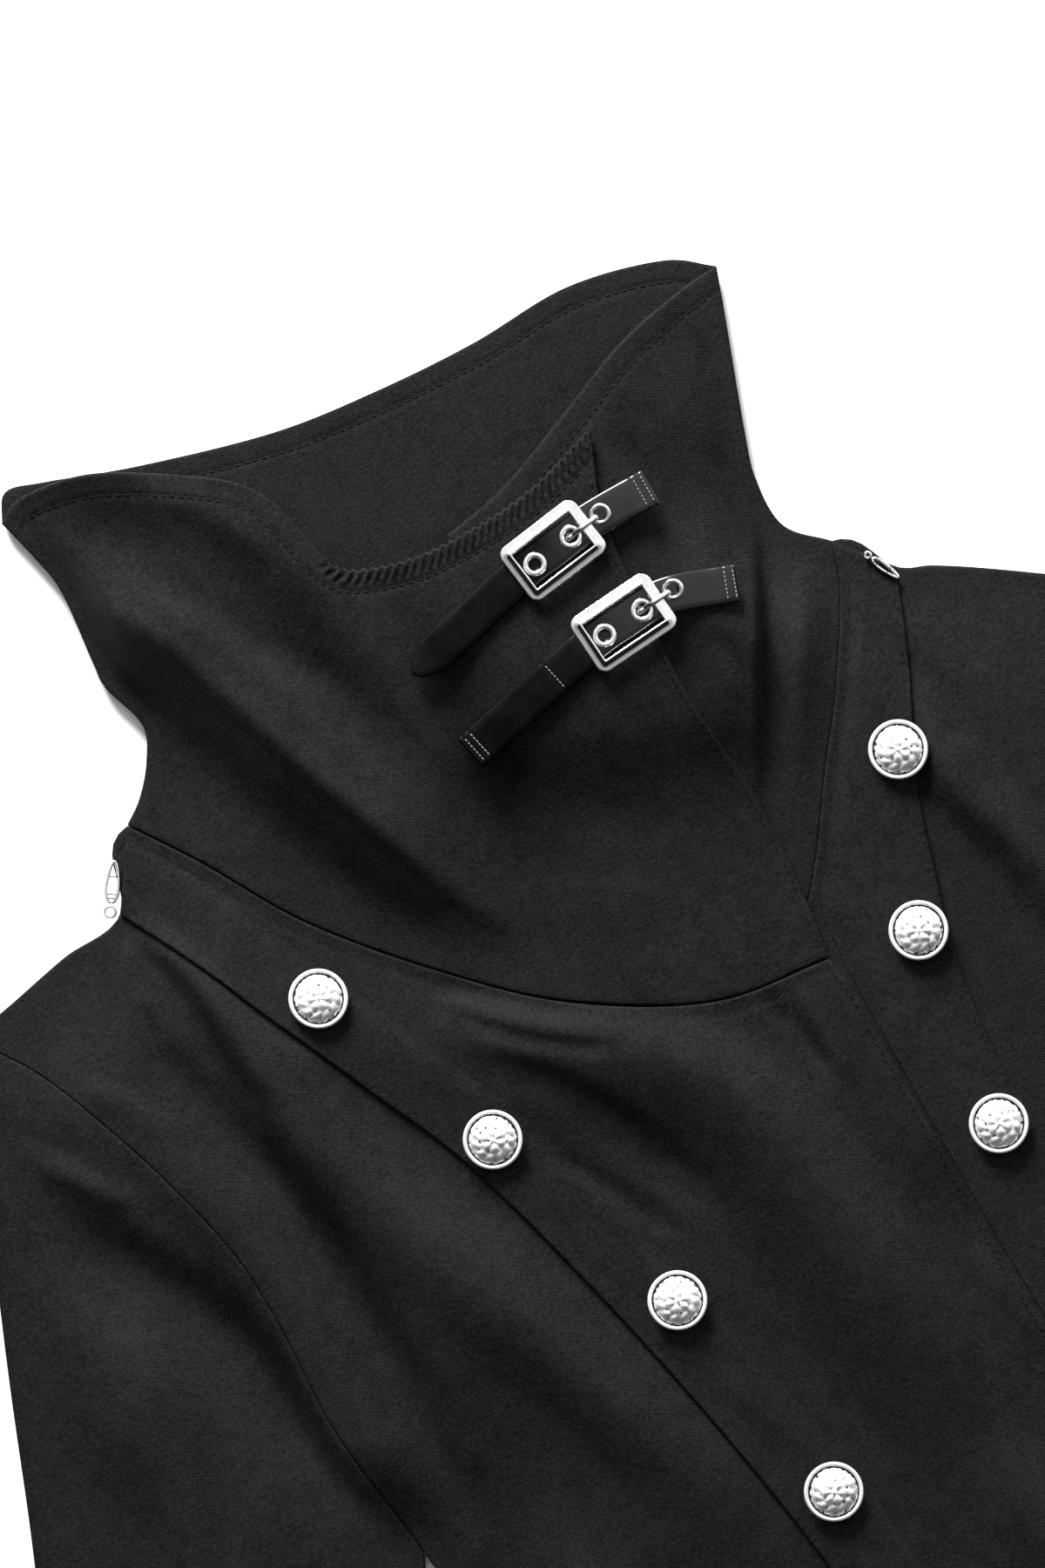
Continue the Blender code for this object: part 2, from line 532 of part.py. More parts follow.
def height_on(grid, x, y):
    """Height of a grid's surface above a plan point, from the three grid points round it."""
    corners = [grid[:-1, :-1], grid[1:, :-1], grid[1:, 1:], grid[:-1, 1:]]
    for triple in ((0, 1, 2), (0, 2, 3)):
        a, b, c = (corners[k].reshape(-1, 3) for k in triple)
        area = (b[:, 0] - a[:, 0]) * (c[:, 1] - a[:, 1]) - (c[:, 0] - a[:, 0]) * (b[:, 1] - a[:, 1])
        s = ((x - a[:, 0]) * (c[:, 1] - a[:, 1]) - (c[:, 0] - a[:, 0]) * (y - a[:, 1])) / area
        t = ((b[:, 0] - a[:, 0]) * (y - a[:, 1]) - (x - a[:, 0]) * (b[:, 1] - a[:, 1])) / area
        inside = np.flatnonzero((s >= -0.001) & (t >= -0.001) & (s + t <= 1.001))
        if len(inside):
            k = inside[0]
            return float(a[k, 2] + s[k] * (b[k, 2] - a[k, 2]) + t[k] * (c[k, 2] - a[k, 2]))
    raise ValueError(f"no cloth under {x}, {y}")


def build_button(name, x, y, strip):
    """A domed metal button with a rolled rim, turned about its own axis and set on its shank."""
    mesh = bpy.data.meshes.new(name)
    edges = [(k, k + 1) for k in range(len(BUTTON_PROFILE) - 1)]
    mesh.from_pydata([(r * MM, 0, z * MM) for r, z in BUTTON_PROFILE], edges, [])
    made = place(name, mesh, metal())
    turned = made.modifiers.new("turned", "SCREW")
    turned.steps = turned.render_steps = 16
    turned.use_merge_vertices = True
    turned.merge_threshold = 0.00001
    turned.use_normal_calculate = True
    east, west, north, south = [height_on(strip, x + dx * BUTTON_STEM, y + dy * BUTTON_STEM)
                                for dx, dy in ((1, 0), (-1, 0), (0, 1), (0, -1))]
    tilt = [math.atan(rise / (2 * BUTTON_STEM)) for rise in (north - south, west - east)]
    made.rotation_euler = (*tilt, 0)
    seat = max(height_on(strip, x, y), (east + west) / 2, (north + south) / 2)
    made.location = (x * MM, y * MM, (seat + 1.5 * LAY_GAP) * MM)
    made.data.shade_smooth()


def strap_centre(points, count):
    line = smooth_path(points, count)
    z = np.max([sheet_under_straps(line[:, 0] + dx, line[:, 1] + dy) for dx, dy in STRAP_FEELERS], axis=0)
    return np.column_stack([line, z + STRAP_LIFT])


def build_strap(name, points, tip):
    """A strap along its centre line, rounded over its first tip millimetres."""
    centre = strap_centre(points, 25)
    travel = np.gradient(centre[:, :2], axis=0)
    travel /= np.hypot(travel[:, 0], travel[:, 1])[:, None]
    side = np.column_stack([-travel[:, 1], travel[:, 0], np.zeros(len(travel))])
    reach = np.hypot(*(centre[:, :2] - centre[0, :2]).T)
    rounding = np.sqrt(np.clip(reach / tip, STRAP_TIP_SHARE, 1)) if tip else np.ones(len(reach))
    half = STRAP_WIDTH / 2 * rounding
    grid = np.stack([centre + side * half[:, None] * k for k in (-1, 0, 1)], axis=1)
    wall(name, grid, LEATHER, leather(), outward=True)
    return centre


def build_buckle(name, centre, turn, strap):
    """A square buckle frame with its prong, the ring that the prong hangs in, and two eyelets."""
    def strap_top(x, y):
        near = np.hypot(strap[:, 0] - x, strap[:, 1] - y).argmin()
        return strap[near, 2] + LEATHER
    base = max(strap_top(centre[0] + dx, centre[1]) for dx in BUCKLE_FEELERS) + SEAM_GAP
    curve = bpy.data.curves.new(f"buckle_{name}", "CURVE")
    curve.dimensions = "2D"
    curve.fill_mode = "BOTH"
    curve.extrude = (BUCKLE_DEPTH / 2 - BUCKLE_BEVEL) * MM
    curve.bevel_depth = BUCKLE_BEVEL * MM
    curve.bevel_resolution = 0
    for shrink in (BUCKLE_BEVEL, BUCKLE_BAR - BUCKLE_BEVEL):
        spline = curve.splines.new("POLY")
        half_x, half_y = BUCKLE_LENGTH / 2 - shrink, BUCKLE_HEIGHT / 2 - shrink
        radius = max(BUCKLE_CORNER - shrink, BUCKLE_INNER_CORNER)
        corners = []
        for turn_at, (sx, sy) in enumerate(((1, 1), (-1, 1), (-1, -1), (1, -1))):
            for step in range(4):
                angle = math.radians(90 * turn_at + 30 * step)
                corners.append((sx * (half_x - radius) + radius * math.cos(angle),
                                sy * (half_y - radius) + radius * math.sin(angle)))
        spline.points.add(len(corners) - 1)
        for point, (x, y) in zip(spline.points, corners):
            point.co = (x * MM, y * MM, 0, 1)
        spline.use_cyclic_u = True
    frame = place(f"buckle_{name}", curve, metal(), (*centre, base + BUCKLE_DEPTH / 2))
    frame.rotation_euler = (0, 0, math.radians(turn))
    top = base + BUCKLE_DEPTH
    way = np.array([math.cos(math.radians(turn)), math.sin(math.radians(turn))])
    far, tip, root = [np.array(centre) + way * reach
                      for reach in (-EYELET_REACH, EYELET_REACH, PRONG_RING_REACH)]
    on_leather = SEAM_GAP + EYELET_WIRE
    rings = {f"eyelet_{name}_1": far, f"eyelet_{name}_2": tip, f"prong_ring_{name}": root}
    for ring_name, spot in rings.items():
        build_ring(ring_name, *spot, strap_top(*spot) + on_leather)
    low = strap_top(*tip) + 2 * on_leather + PRONG_WIRE
    high = top + SEAM_GAP + PRONG_WIRE
    end = strap_top(*root) + 2 * on_leather + PRONG_WIRE
    shape = [(along, low + rise * (high - low)) for along, rise in PRONG_RISE]
    shape.append((PRONG_END, max(end, high - PRONG_DROP)))
    wire(f"prong_{name}", [(*(tip + way * along), z) for along, z in shape], PRONG_WIRE, metal())


def build_ring(name, x, y, z):
    bpy.ops.mesh.primitive_torus_add(major_segments=14, minor_segments=6, major_radius=EYELET_RADIUS * MM,
                                     minor_radius=EYELET_WIRE * MM, location=(x * MM, y * MM, z * MM))
    made = bpy.context.object
    made.name = made.data.name = name
    for holder in list(made.users_collection):
        holder.objects.unlink(made)
    bpy.data.collections["cropped_jacket"].objects.link(made)
    made.data.materials.append(metal())


def build_hook(name, middle, turn, half_length, half_width):
    """A long wire loop sewn at the end of a button strip."""
    along = np.array([math.cos(math.radians(turn)), math.sin(math.radians(turn))])
    across = np.array([-along[1], along[0]])
    points = []
    for angle in np.linspace(0, 2 * math.pi, 18, endpoint=False):
        flat = middle[:2] + along * half_length * math.cos(angle) + across * half_width * math.sin(angle)
        points.append((*flat, middle[2]))
    wire(f"{name}_loop", points, HOOK_WIRE, metal(), closed=True, sides=1)


def main():
    for old in list(bpy.data.objects):
        bpy.data.objects.remove(old, do_unlink=True)
    jacket = bpy.data.collections.new("cropped_jacket")
    bpy.context.scene.collection.children.link(jacket)
    build_back()
    strips = build_fronts()
    build_collar()
    build_sleeve("sleeve_right", SIDE_RIGHT, UNDERARM_RIGHT, SLEEVE_RIGHT_OUT, SLEEVE_RIGHT_IN, right_body,
                 head=0.06)
    build_sleeve("sleeve_left", SIDE_LEFT, UNDERARM_LEFT, SLEEVE_LEFT_OUT, SLEEVE_LEFT_IN, body_height,
                 head=0.12)
    for side, spots in (("right", BUTTONS_RIGHT), ("left", BUTTONS_LEFT)):
        for k, (x, y) in enumerate(spots, 1):
            build_button(f"button_{side}_{k}", x, y, strips[side])
    upper = build_strap("strap_upper", STRAP_UPPER, STRAP_TIP)
    lower = build_strap("strap_lower", STRAP_LOWER, 0)
    build_buckle("upper", **BUCKLE_UPPER, strap=upper)
    build_buckle("lower", **BUCKLE_LOWER, strap=lower)
    build_hook("hook_right", **HOOK_RIGHT)
    build_hook("hook_left", **HOOK_LEFT)


main()
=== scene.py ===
# %% [markdown]
# # A cropped jacket, laid flat
# The real jacket is cut from charcoal twill: two fronts that lap, a tall funnel collar held by two small
# buckled straps, a strip of domed buttons down each side, and long sleeves. It lies on its back on a table.
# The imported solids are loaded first, because every dressed piece has to sit where its solid sits.

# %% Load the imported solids
import json
import math

import bpy
import numpy as np
from mathutils import Matrix, Vector

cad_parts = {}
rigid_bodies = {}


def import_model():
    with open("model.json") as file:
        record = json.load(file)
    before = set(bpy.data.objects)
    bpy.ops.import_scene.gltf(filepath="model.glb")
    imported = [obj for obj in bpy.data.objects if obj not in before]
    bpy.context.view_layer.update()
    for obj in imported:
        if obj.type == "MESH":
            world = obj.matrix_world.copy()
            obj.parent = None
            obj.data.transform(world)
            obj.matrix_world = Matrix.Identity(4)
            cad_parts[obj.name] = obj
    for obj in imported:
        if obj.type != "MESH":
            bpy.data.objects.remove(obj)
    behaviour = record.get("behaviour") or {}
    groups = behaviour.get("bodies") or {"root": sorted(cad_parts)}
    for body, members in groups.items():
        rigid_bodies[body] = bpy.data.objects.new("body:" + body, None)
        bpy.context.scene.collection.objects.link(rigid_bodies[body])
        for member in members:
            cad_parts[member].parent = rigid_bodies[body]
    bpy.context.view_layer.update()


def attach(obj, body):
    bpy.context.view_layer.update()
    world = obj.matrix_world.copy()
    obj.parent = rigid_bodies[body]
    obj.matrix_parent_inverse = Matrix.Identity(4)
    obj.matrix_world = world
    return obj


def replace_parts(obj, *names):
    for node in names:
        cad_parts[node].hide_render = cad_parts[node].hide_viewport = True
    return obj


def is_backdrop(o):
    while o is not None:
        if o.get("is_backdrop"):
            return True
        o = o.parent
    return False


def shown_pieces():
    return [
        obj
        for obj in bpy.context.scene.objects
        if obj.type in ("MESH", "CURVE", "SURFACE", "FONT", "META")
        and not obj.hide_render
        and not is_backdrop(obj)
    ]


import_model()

# %% [markdown]
# ## Sizes of the cloth and the hardware
# A tailor works from a few sizes: how thick the cloth is, how high the collar stands when it lies flat, how
# far a row of topstitching sits from an edge. All sizes here are millimetres, and MM turns them to metres.

# %% Named sizes
MM = 0.001
CLOTH = 1.5
STRIP_CLOTH = 1.3
LEATHER = 1.7
SEAM_GAP = 0.3
SEAM_LINE = 0.1
LAY_GAP = 0.35
BODY_LIFT = 4.5
COLLAR_LIFT = 17.0
LAP_STEP = 2.7
FOLD_EDGE = 5.0
REST_FADE = 42.0
TUCK_FADE = 8.0
COLLAR_FADE = 44.0
COLLAR_FOLD_FADE = 13.0
COLLAR_SEAM_FADE = 24.0
COLLAR_START = 24.0
COLLAR_RISE = 90.0
DROP_WIDTH = 5.0
RETURN_SHARE = 0.45
RETURN_WIDTH = 12.0
SEAM_WIDTH = 14.0
LAP_START = -32.0
LAP_WIDTH = 28.0
STRAP_FADE = 13.0
SLEEVE_EDGE = 9.0
SLEEVE_SHOULDER = 48.0
SLEEVE_CROWN = 4.6
BUTTON_RADIUS = 9.6
BUTTON_HEIGHT = 5.2
BUTTON_STEM = 3.6
STRAP_WIDTH = 12.3
STRAP_TIP = 9.0
STRAP_LIFT = 0.45
BUCKLE_LENGTH = 30.0
BUCKLE_HEIGHT = 20.8
BUCKLE_BAR = 3.8
BUCKLE_DEPTH = 2.4
BUCKLE_CORNER = 3.4
EYELET_WIRE = 0.7
EYELET_REACH = 7.2
PRONG_RING_REACH = 19.0
LIP_STITCH = 7.0
EDGE_STITCH = 1.9
NECK_STITCH = 4.6
THREAD = 0.2
ROPE_PITCH = 2.9
ROPE_WIDTH = 5.2
ROPE_DEPTH = 0.7
ROPE_START = 0.52
HEM_STITCH = 18.0
PRONG_RADIUS = 0.95
SHARP_ANGLE = 70.0
print("collar stands", COLLAR_LIFT, "mm; cloth", CLOTH, "mm")

# %% [markdown]
# ## The cutting plan
# Each seam and edge is a curve on the table, given by a few points as x, y. +y runs to the collar and +x to
# the wearer's left. A pattern cutter would draw the same lines on paper, so the plan comes before any cloth.

# %% Seams and edges
NECK_RIGHT = [(-131.8, 145.6), (-116, 123.3), (-95.8, 91.5), (-66.4, 58.6), (-34.3, 30.2), (7.4, 8),
              (46.5, 3)]
NECK_LEFT = [(109.6, 120.4), (104, 104), (87.5, 76.5), (73.5, 57), (58, 34), (45, 19), (25, 9),
             (2, 3)]
NECK_BACK = [(109.6, 120.4), (60, 112), (0, 113), (-65, 126), (-131.8, 145.6)]
SHOULDER_RIGHT = [(-208.6, 109.4), (-193.3, 112.2), (-169.5, 117.8), (-147.1, 121.6)]
SHOULDER_LEFT = [(124, 103.5), (134.9, 98.1), (150.6, 88.6), (180, 69)]
SIDE_RIGHT = [(-208.6, 109.4), (-194.3, 89.5), (-184, 67), (-174.3, 40.8), (-165.6, 8.7), (-163.5, -20),
              (-163.8, -57), (-157, -105), (-149, -170), (-144, -235), (-143, -301)]
SIDE_LEFT = [(180, 69), (168, 35), (162, 0), (164, -40), (170, -80), (178, -122), (184, -180), (191, -230),
             (198, -269)]
UNDERARM_RIGHT = (-157, -105)
UNDERARM_LEFT = (178, -122)
STRIP_RIGHT_OUT = [(-147.1, 121.6), (-133.4, 96.4), (-119, 66.7), (-102.2, 32.6), (-86, -2.1),
                   (-67.7, -62.2), (-53, -123.4), (-44.5, -170), (-36, -232), (-30, -290.4)]
STRIP_RIGHT_IN = [(-133.2, 143.4), (-120.5, 121), (-107, 94.5), (-92.5, 65), (-76, 31), (-60.5, -3),
                  (-42.5, -62), (-27.5, -123.5), (-19, -170.5), (-10.5, -232), (-4.5, -288)]
STRIP_LEFT_OUT = [(124, 103.5), (116.6, 82.7), (104.6, 54.8), (96.5, 36.5), (89.5, 12), (82.5, -16),
                  (79.1, -49.9), (80, -69), (83.5, -99), (88.5, -145), (95.5, -221), (101.5, -278.5)]
STRIP_LEFT_IN = [(112, 117.5), (107, 102), (90.6, 74.6), (76.6, 55), (61, 32), (53, 20), (50.6, 6),
                 (50.2, -12), (50.4, -30), (51, -55), (52.1, -99), (54.6, -145), (59.6, -221), (64, -282)]
CENTRE_EDGE = [(46.5, 3), (48.4, -10), (48.8, -30), (49.4, -55), (50.5, -99), (53, -145), (58, -221),
               (62.5, -282)]
HIDDEN_EDGE = [(2, 3), (4, -40), (8, -99), (14, -160), (20, -225), (26, -285)]
HEM_RIGHT = [(-143, -301), (-30, -290.4), (-4.5, -288), (62.5, -282)]
HEM_LEFT = [(26, -285), (64, -282), (101.5, -278.5), (198, -269)]
COLLAR_SIDE_RIGHT = [(-122, 249.8), (-117.9, 235.1), (-115.4, 221.5), (-117.1, 196.9), (-117.3, 187.6),
                     (-112.5, 171.8), (-116.8, 160.9), (-124.2, 151.6), (-131.8, 145.6)]
COLLAR_SIDE_LEFT = [(118.6, 215.2), (112.8, 197.4), (102.1, 165.3), (97.7, 148.8), (98.5, 132),
                    (109.6, 120.4)]
LIP_RIGHT = [(-122, 249.8), (-112, 254), (-88.6, 249.4), (-58.8, 232.6), (-44.5, 219.3), (-38, 200.8),
             (-34.8, 188.5), (-27, 182), (-4.4, 176.9), (29, 178.7), (58.3, 187.7)]
LIP_LEFT = [(2, 179), (24.2, 184.1), (48.3, 193.9), (77.7, 206.6), (104, 213.4), (118.6, 215.2)]
LIP_BACK = [(-122, 249.8), (-116.3, 258.2), (-103.5, 255.1), (-73.8, 245.3), (-31.3, 234.7), (3.9, 231),
            (38.3, 230), (72.9, 231.8), (103.9, 225), (118.6, 215.2)]
COLLAR_EDGE = [(58.3, 187.7), (49.9, 164.8), (47.4, 147.2), (45.8, 104), (47.8, 78.7), (49.9, 60),
               (49.8, 35.2), (48.4, 17.7), (46.5, 3)]
COLLAR_HIDDEN_EDGE = [(2, 179), (0, 100), (2, 3)]
COLLAR_DROP = [(104, 170), (96.4, 144.1), (86.6, 123.2), (77.7, 105.3), (58.9, 70), (47, 48), (33, 24),
               (12, 14)]
SLEEVE_RIGHT_OUT = [(-208.6, 109.4), (-245.9, 13.7), (-268.8, -48.7), (-302, -131), (-345, -250),
                    (-385, -356), (-414, -433)]
SLEEVE_RIGHT_IN = [(-157, -105), (-176, -150), (-215, -245), (-262, -358), (-308, -472)]
SLEEVE_LEFT_OUT = [(180, 69), (222, -10), (256, -85), (292, -175), (330, -275), (365, -375), (392, -462)]
SLEEVE_LEFT_IN = [(178, -122), (192, -175), (220, -268), (250, -370), (284, -496)]
BUTTONS_RIGHT = [(-103.8, 68.1), (-75.5, 2.4), (-47.6, -70.6), (-32.3, -147.7), (-22.5, -225)]
BUTTONS_LEFT = [(97.2, 51.5), (75.7, -2.5), (69.4, -68.9), (76, -145), (84, -221)]
STRAP_UPPER = [(-28.3, 145), (14.2, 156.5), (29.4, 159.2), (44.5, 161.6), (66.5, 162.3)]
STRAP_LOWER = [(-24.1, 114.4), (22.5, 126.1), (38.6, 128.6), (54.6, 129.2), (76.5, 122.3)]
print("buttons planned:", len(BUTTONS_RIGHT + BUTTONS_LEFT))

# %% [markdown]
# ## Folds and creases
# Cloth that lies loose keeps the folds it fell in. A fold is a soft ridge along a path. It has a height and
# a width on each side, and fades at both ends, so unequal widths make one flank steep. Simulated cloth
# would fold somewhere else, so the folds are listed one by one. Shallow creases between them follow.

# %% Fold tables: path, height, width left of its travel, width right of it
BODY_FOLDS = [
    ([(-192, 97), (-179, 69), (-169, 42), (-161, 10), (-158, -20), (-158, -57), (-152, -105),
      (-146, -170)], 5.5, 18, 26),
    ([(-142, 120), (-132, 95), (-129, 68), (-129, 28), (-125, -12), (-123, -55), (-127, -90),
      (-133, -120)], 4.5, 30, 15),
    ([(-142, 96), (-135, 66), (-127, 35), (-116, 1), (-103, -33), (-89, -67), (-68, -121),
      (-50, -168)], 5, 22, 22),
    ([(-112, 10), (-100, -40), (-88, -90), (-80, -140), (-76, -195)], 4.5, 32, 36),
    ([(-144, 84), (-143, 56), (-142, 28), (-140, -12), (-138, -55), (-141, -90), (-147, -115)],
     -2, 12, 10),
    ([(-92, 72), (-78, 46), (-61, 33), (-33, 14), (-8, -10), (4, -32), (9, -57), (14, -93),
      (17, -136), (16, -176)], 7.5, 21, 36),
    ([(-132, -110), (-118, -180), (-112, -275)], 5.5, 32, 18),
    ([(20, -150), (28, -220), (36, -290)], 4, 22, 20),
    ([(110, 74), (109, 34), (114, 14), (119, -8), (130, -60)], 6, 16, 12),
    ([(100, -70), (112, -120), (122, -190), (130, -270)], 5, 18, 20),
    ([(146, -90), (156, -160), (168, -240)], 4.5, 18, 16),
]
BODY_TUCKS = [
    ([(-147, 124), (-141, 108), (-135, 88), (-133, 64), (-128, 40)], 3, 9, 7),
    ([(-150, 118), (-152, 100), (-156, 84)], 1.5, 6, 6),
]
BODY_CREASES = [
    ([(-136, 96), (-128, 70), (-112, 40)], 1.1, 7, 9),
    ([(-160, 88), (-150, 50), (-142, 10)], -1.3, 9, 8),
    ([(-186, 82), (-170, 62), (-160, 44)], 0.9, 6, 8),
    ([(-75, 60), (-49, 38), (-27, 19)], -1.1, 5, 5),
    ([(-73, 53), (-50, 31), (-27, 15)], 0.4, 4, 4),
    ([(-71, 46), (-50, 25), (-27, 10), (-16, 11)], -0.9, 4, 5),
    ([(-65, -5), (-50, -29), (-34, -59)], -1.4, 6, 6),
    ([(-80, 34), (-54, 14), (-37, -10), (-26, -36), (-16, -60)], -1.9, 7, 13),
    ([(25, 6), (27, -8), (29, -23), (29, -35)], -1.6, 4, 6),
    ([(31, 5), (32, -10), (34, -27), (34, -39)], 1, 5, 6),
    ([(-46, -93), (-37, -123), (-35, -155)], 1, 10, 9),
    ([(40, -90), (52, -140), (58, -190)], 0.9, 9, 8),
    ([(112, 84), (118, 60), (116, 36)], -1.2, 7, 8),
    ([(150, 74), (148, 40), (150, 8)], -1.4, 9, 10),
    ([(108, 20), (118, -16), (124, -50)], -1, 9, 8),
    ([(-126, -140), (-128, -190), (-124, -240)], -1.2, 9, 10),
    ([(-84, -150), (-78, -205), (-78, -260)], 1, 10, 8),
    ([(140, -140), (146, -190), (152, -250)], -1.2, 10, 9),
]
LAP_FOLDS = [([(49, 22), (49, -14), (50, -50), (53, -95)], 3.5, 14, 24)]
COLLAR_CREST = [(-129, 254), (-121, 234), (-111, 217), (-101, 203), (-93, 189), (-87, 173), (-80, 156),
                (-74, 139), (-67, 122), (-60, 105), (-53, 86), (-45, 69), (-34, 50)]
COLLAR_FOLDS = [
    (COLLAR_CREST, 11, 30, 24),
    ([(-58, 228), (-46, 197), (-42, 173), (-38, 148), (-36, 125), (-32, 100), (-28, 72)], 3.5, 18, 18),
    ([(-52, 118), (-28, 98), (-5, 87), (22, 76), (52, 68), (84, 72)], -2.5, 24, 40),
    ([(84, 205), (84, 170), (74, 130), (62, 100)], 3, 20, 16),
]
COLLAR_CREASES = [
    (COLLAR_CREST[1:], 1.7, 8, 6),
    ([(-94, 222), (-78, 196), (-63, 168), (-50, 148)], -1.5, 10, 9),
    ([(-78, 242), (-61, 220), (-50, 196)], 1.3, 10, 9),
    ([(-40, 74), (-10, 52), (18, 42)], 0.5, 12, 14),
    ([(-16, 92), (8, 74), (30, 60)], -0.5, 12, 12),
    ([(62, 186), (68, 160), (66, 136)], -1.1, 10, 9),
    ([(96, 200), (92, 178), (90, 160)], 0.8, 8, 8),
    ([(58, 118), (66, 98), (60, 74)], -1.2, 8, 8),
]
SLEEVE_FOLDS = [
    ([(-222, 84), (-226, 20), (-232, -60)], 4, 18, 20),
    ([(-225, 75), (-215, 57), (-207, 36), (-193, 13), (-179, -12), (-173, -32), (-170, -58),
      (-164, -95)], -5.5, 17, 30),
    ([(-206, 20), (-214, -40), (-232, -130)], 3.5, 16, 18),
    ([(-262, -110), (-272, -190), (-306, -280)], 4, 18, 18),
    ([(-236, -230), (-282, -330), (-312, -400)], 3.5, 16, 16),
    ([(-330, -270), (-352, -350), (-380, -420)], 3, 16, 14),
    ([(194, 30), (208, -40), (216, -120)], 4.5, 16, 18),
    ([(232, -70), (250, -150), (280, -240)], 4, 18, 18),
    ([(246, -200), (276, -300), (292, -400)], 4, 16, 16),
    ([(306, -250), (328, -330), (352, -420)], 3, 16, 14),
]
SLEEVE_CREASES = [
    ([(-205, 100), (-194, 80), (-187, 56)], 2, 4, 5),
    ([(-205, 93), (-197, 73), (-193, 60)], -2.1, 4, 5),
    ([(-210, 79), (-201, 67), (-191, 55)], -2, 4, 4),
    ([(-215, 74), (-203, 57), (-189, 42), (-178, 32)], 2, 5, 5),
    ([(-195, 101), (-185, 79), (-179, 54), (-176, 36)], 1.2, 5, 5),
    ([(-196, -20), (-208, -60), (-226, -104)], -1.2, 9, 10),
    ([(-240, 4), (-250, -60), (-262, -112)], -1.2, 10, 9),
    ([(-212, -150), (-236, -200), (-268, -252)], 1.4, 9, 10),
    ([(-248, -160), (-262, -190), (-300, -214)], -1.3, 10, 9),
    ([(-290, -250), (-318, -290), (-340, -340)], -1.2, 10, 10),
    ([(-330, -380), (-340, -410), (-360, -440)], 1, 8, 9),
    ([(186, 50), (196, 22), (206, -8)], 1.2, 6, 6),
    ([(178, 10), (188, -24), (200, -60)], -1.1, 7, 7),
    ([(196, -100), (214, -150), (238, -196)], 1.3, 9, 9),
    ([(240, -110), (262, -150), (292, -176)], -1.2, 9, 10),
    ([(262, -270), (290, -300), (320, -318)], 1.1, 9, 8),
    ([(300, -360), (316, -400), (330, -450)], -1, 9, 9),
]
print("folds", len(BODY_FOLDS + COLLAR_FOLDS + SLEEVE_FOLDS),
      "creases", len(BODY_CREASES + COLLAR_CREASES + SLEEVE_CREASES))

# %% [markdown]
# ## Curves through the plan's points
# A seam is a smooth curve. A Catmull-Rom curve goes through each point it is given, which suits points read
# off a garment. Its points are then spaced by fractions of its length, so that a row can be set close to
# an edge where the cloth rolls over.

# %% Smooth paths
PATHS = {}
CURVE_STEPS = 12


def run_of(points):
    """Distance covered at each point of a line."""
    return np.r_[0, np.cumsum(np.hypot(*np.diff(points, axis=0).T))]


def between(points, at, wanted):
    """Points of a line at wanted places, straight between those it has."""
    return np.column_stack([np.interp(wanted, at, points[:, axis]) for axis in (0, 1)])


def smooth_path(points, at=48):
    """Points along a smooth curve, at even steps or at the given fractions of its length."""
    key = tuple(map(tuple, points))
    if key not in PATHS:
        p = np.array(points, float)
        if len(p) > 2:
            p = np.vstack([2 * p[0] - p[1], p, 2 * p[-1] - p[-2]])
            t = np.linspace(0, 1, CURVE_STEPS, endpoint=False)[:, None]
            spans = []
            for a, b, c, d in zip(p, p[1:], p[2:], p[3:]):
                spans.append(0.5 * (2 * b + (c - a) * t + (2 * a - 5 * b + 4 * c - d) * t ** 2
                                    + (3 * b - a - 3 * c + d) * t ** 3))
            p = np.vstack(spans + [p[-2:-1]])
        PATHS[key] = p, run_of(p)
    p, reach = PATHS[key]
    return between(p, reach, (np.linspace(0, 1, at) if np.isscalar(at) else np.asarray(at)) * reach[-1])


def length_of(points):
    smooth_path(points)
    return PATHS[tuple(map(tuple, points))][1][-1]


def ease(t):
    t = np.clip(t, 0, 1)
    return t * t * (3 - 2 * t)


def leftward(line):
    """Unit directions to the left of a line's travel."""
    travel = np.gradient(line, axis=0)
    travel /= np.hypot(travel[:, 0], travel[:, 1])[:, None]
    return np.column_stack([-travel[:, 1], travel[:, 0]])


def inset(line, distance):
    """Moves a line of points to the left of its travel."""
    return line + distance * leftward(line)


print("centre edge", round(length_of(CENTRE_EDGE)), "mm long")

# %% [markdown]
# ## Heights from distances
# Height is worked out from how far a point of cloth is from the seams. That way two layers that lie on
# each other use the same rule and can't cut through one another, however finely each is meshed.

# %% Distance to a path, folds and seam puckers
def nearest(path, x, y):
    """Signed distance from points to a path, left of its travel positive, and how far along it."""
    start, step = path[:-1], np.diff(path, axis=0)
    length = np.hypot(step[:, 0], step[:, 1])
    px, py = x[..., None] - start[:, 0], y[..., None] - start[:, 1]
    t = np.clip((px * step[:, 0] + py * step[:, 1]) / length ** 2, 0, 1)
    gap = np.hypot(px - t * step[:, 0], py - t * step[:, 1])
    k = gap.argmin(-1)[..., None]
    pick = lambda values: np.take_along_axis(values, k, -1)[..., 0]
    side = np.where(step[k[..., 0], 0] * pick(py) - step[k[..., 0], 1] * pick(px) >= 0, 1, -1)
    before = np.r_[0, np.cumsum(length)]
    along = (before[k[..., 0]] + pick(t) * length[k[..., 0]]) / before[-1]
    return side * pick(gap), along


FOLD_END_SHARE = 0.3


def folds(rows, x, y):
    """Sum of soft ridges, each fading out at its two ends."""
    z = np.zeros(np.shape(x))
    for path, height, left_width, right_width in rows:
        gap, along = nearest(smooth_path(path, 24), x, y)
        width = np.where(gap >= 0, left_width, right_width)
        crest = 0.5 + 0.5 * np.cos(np.pi * np.clip(np.abs(gap) / width, 0, 1))
        z += height * crest * ease(along / FOLD_END_SHARE) * ease((1 - along) / FOLD_END_SHARE)
    return z


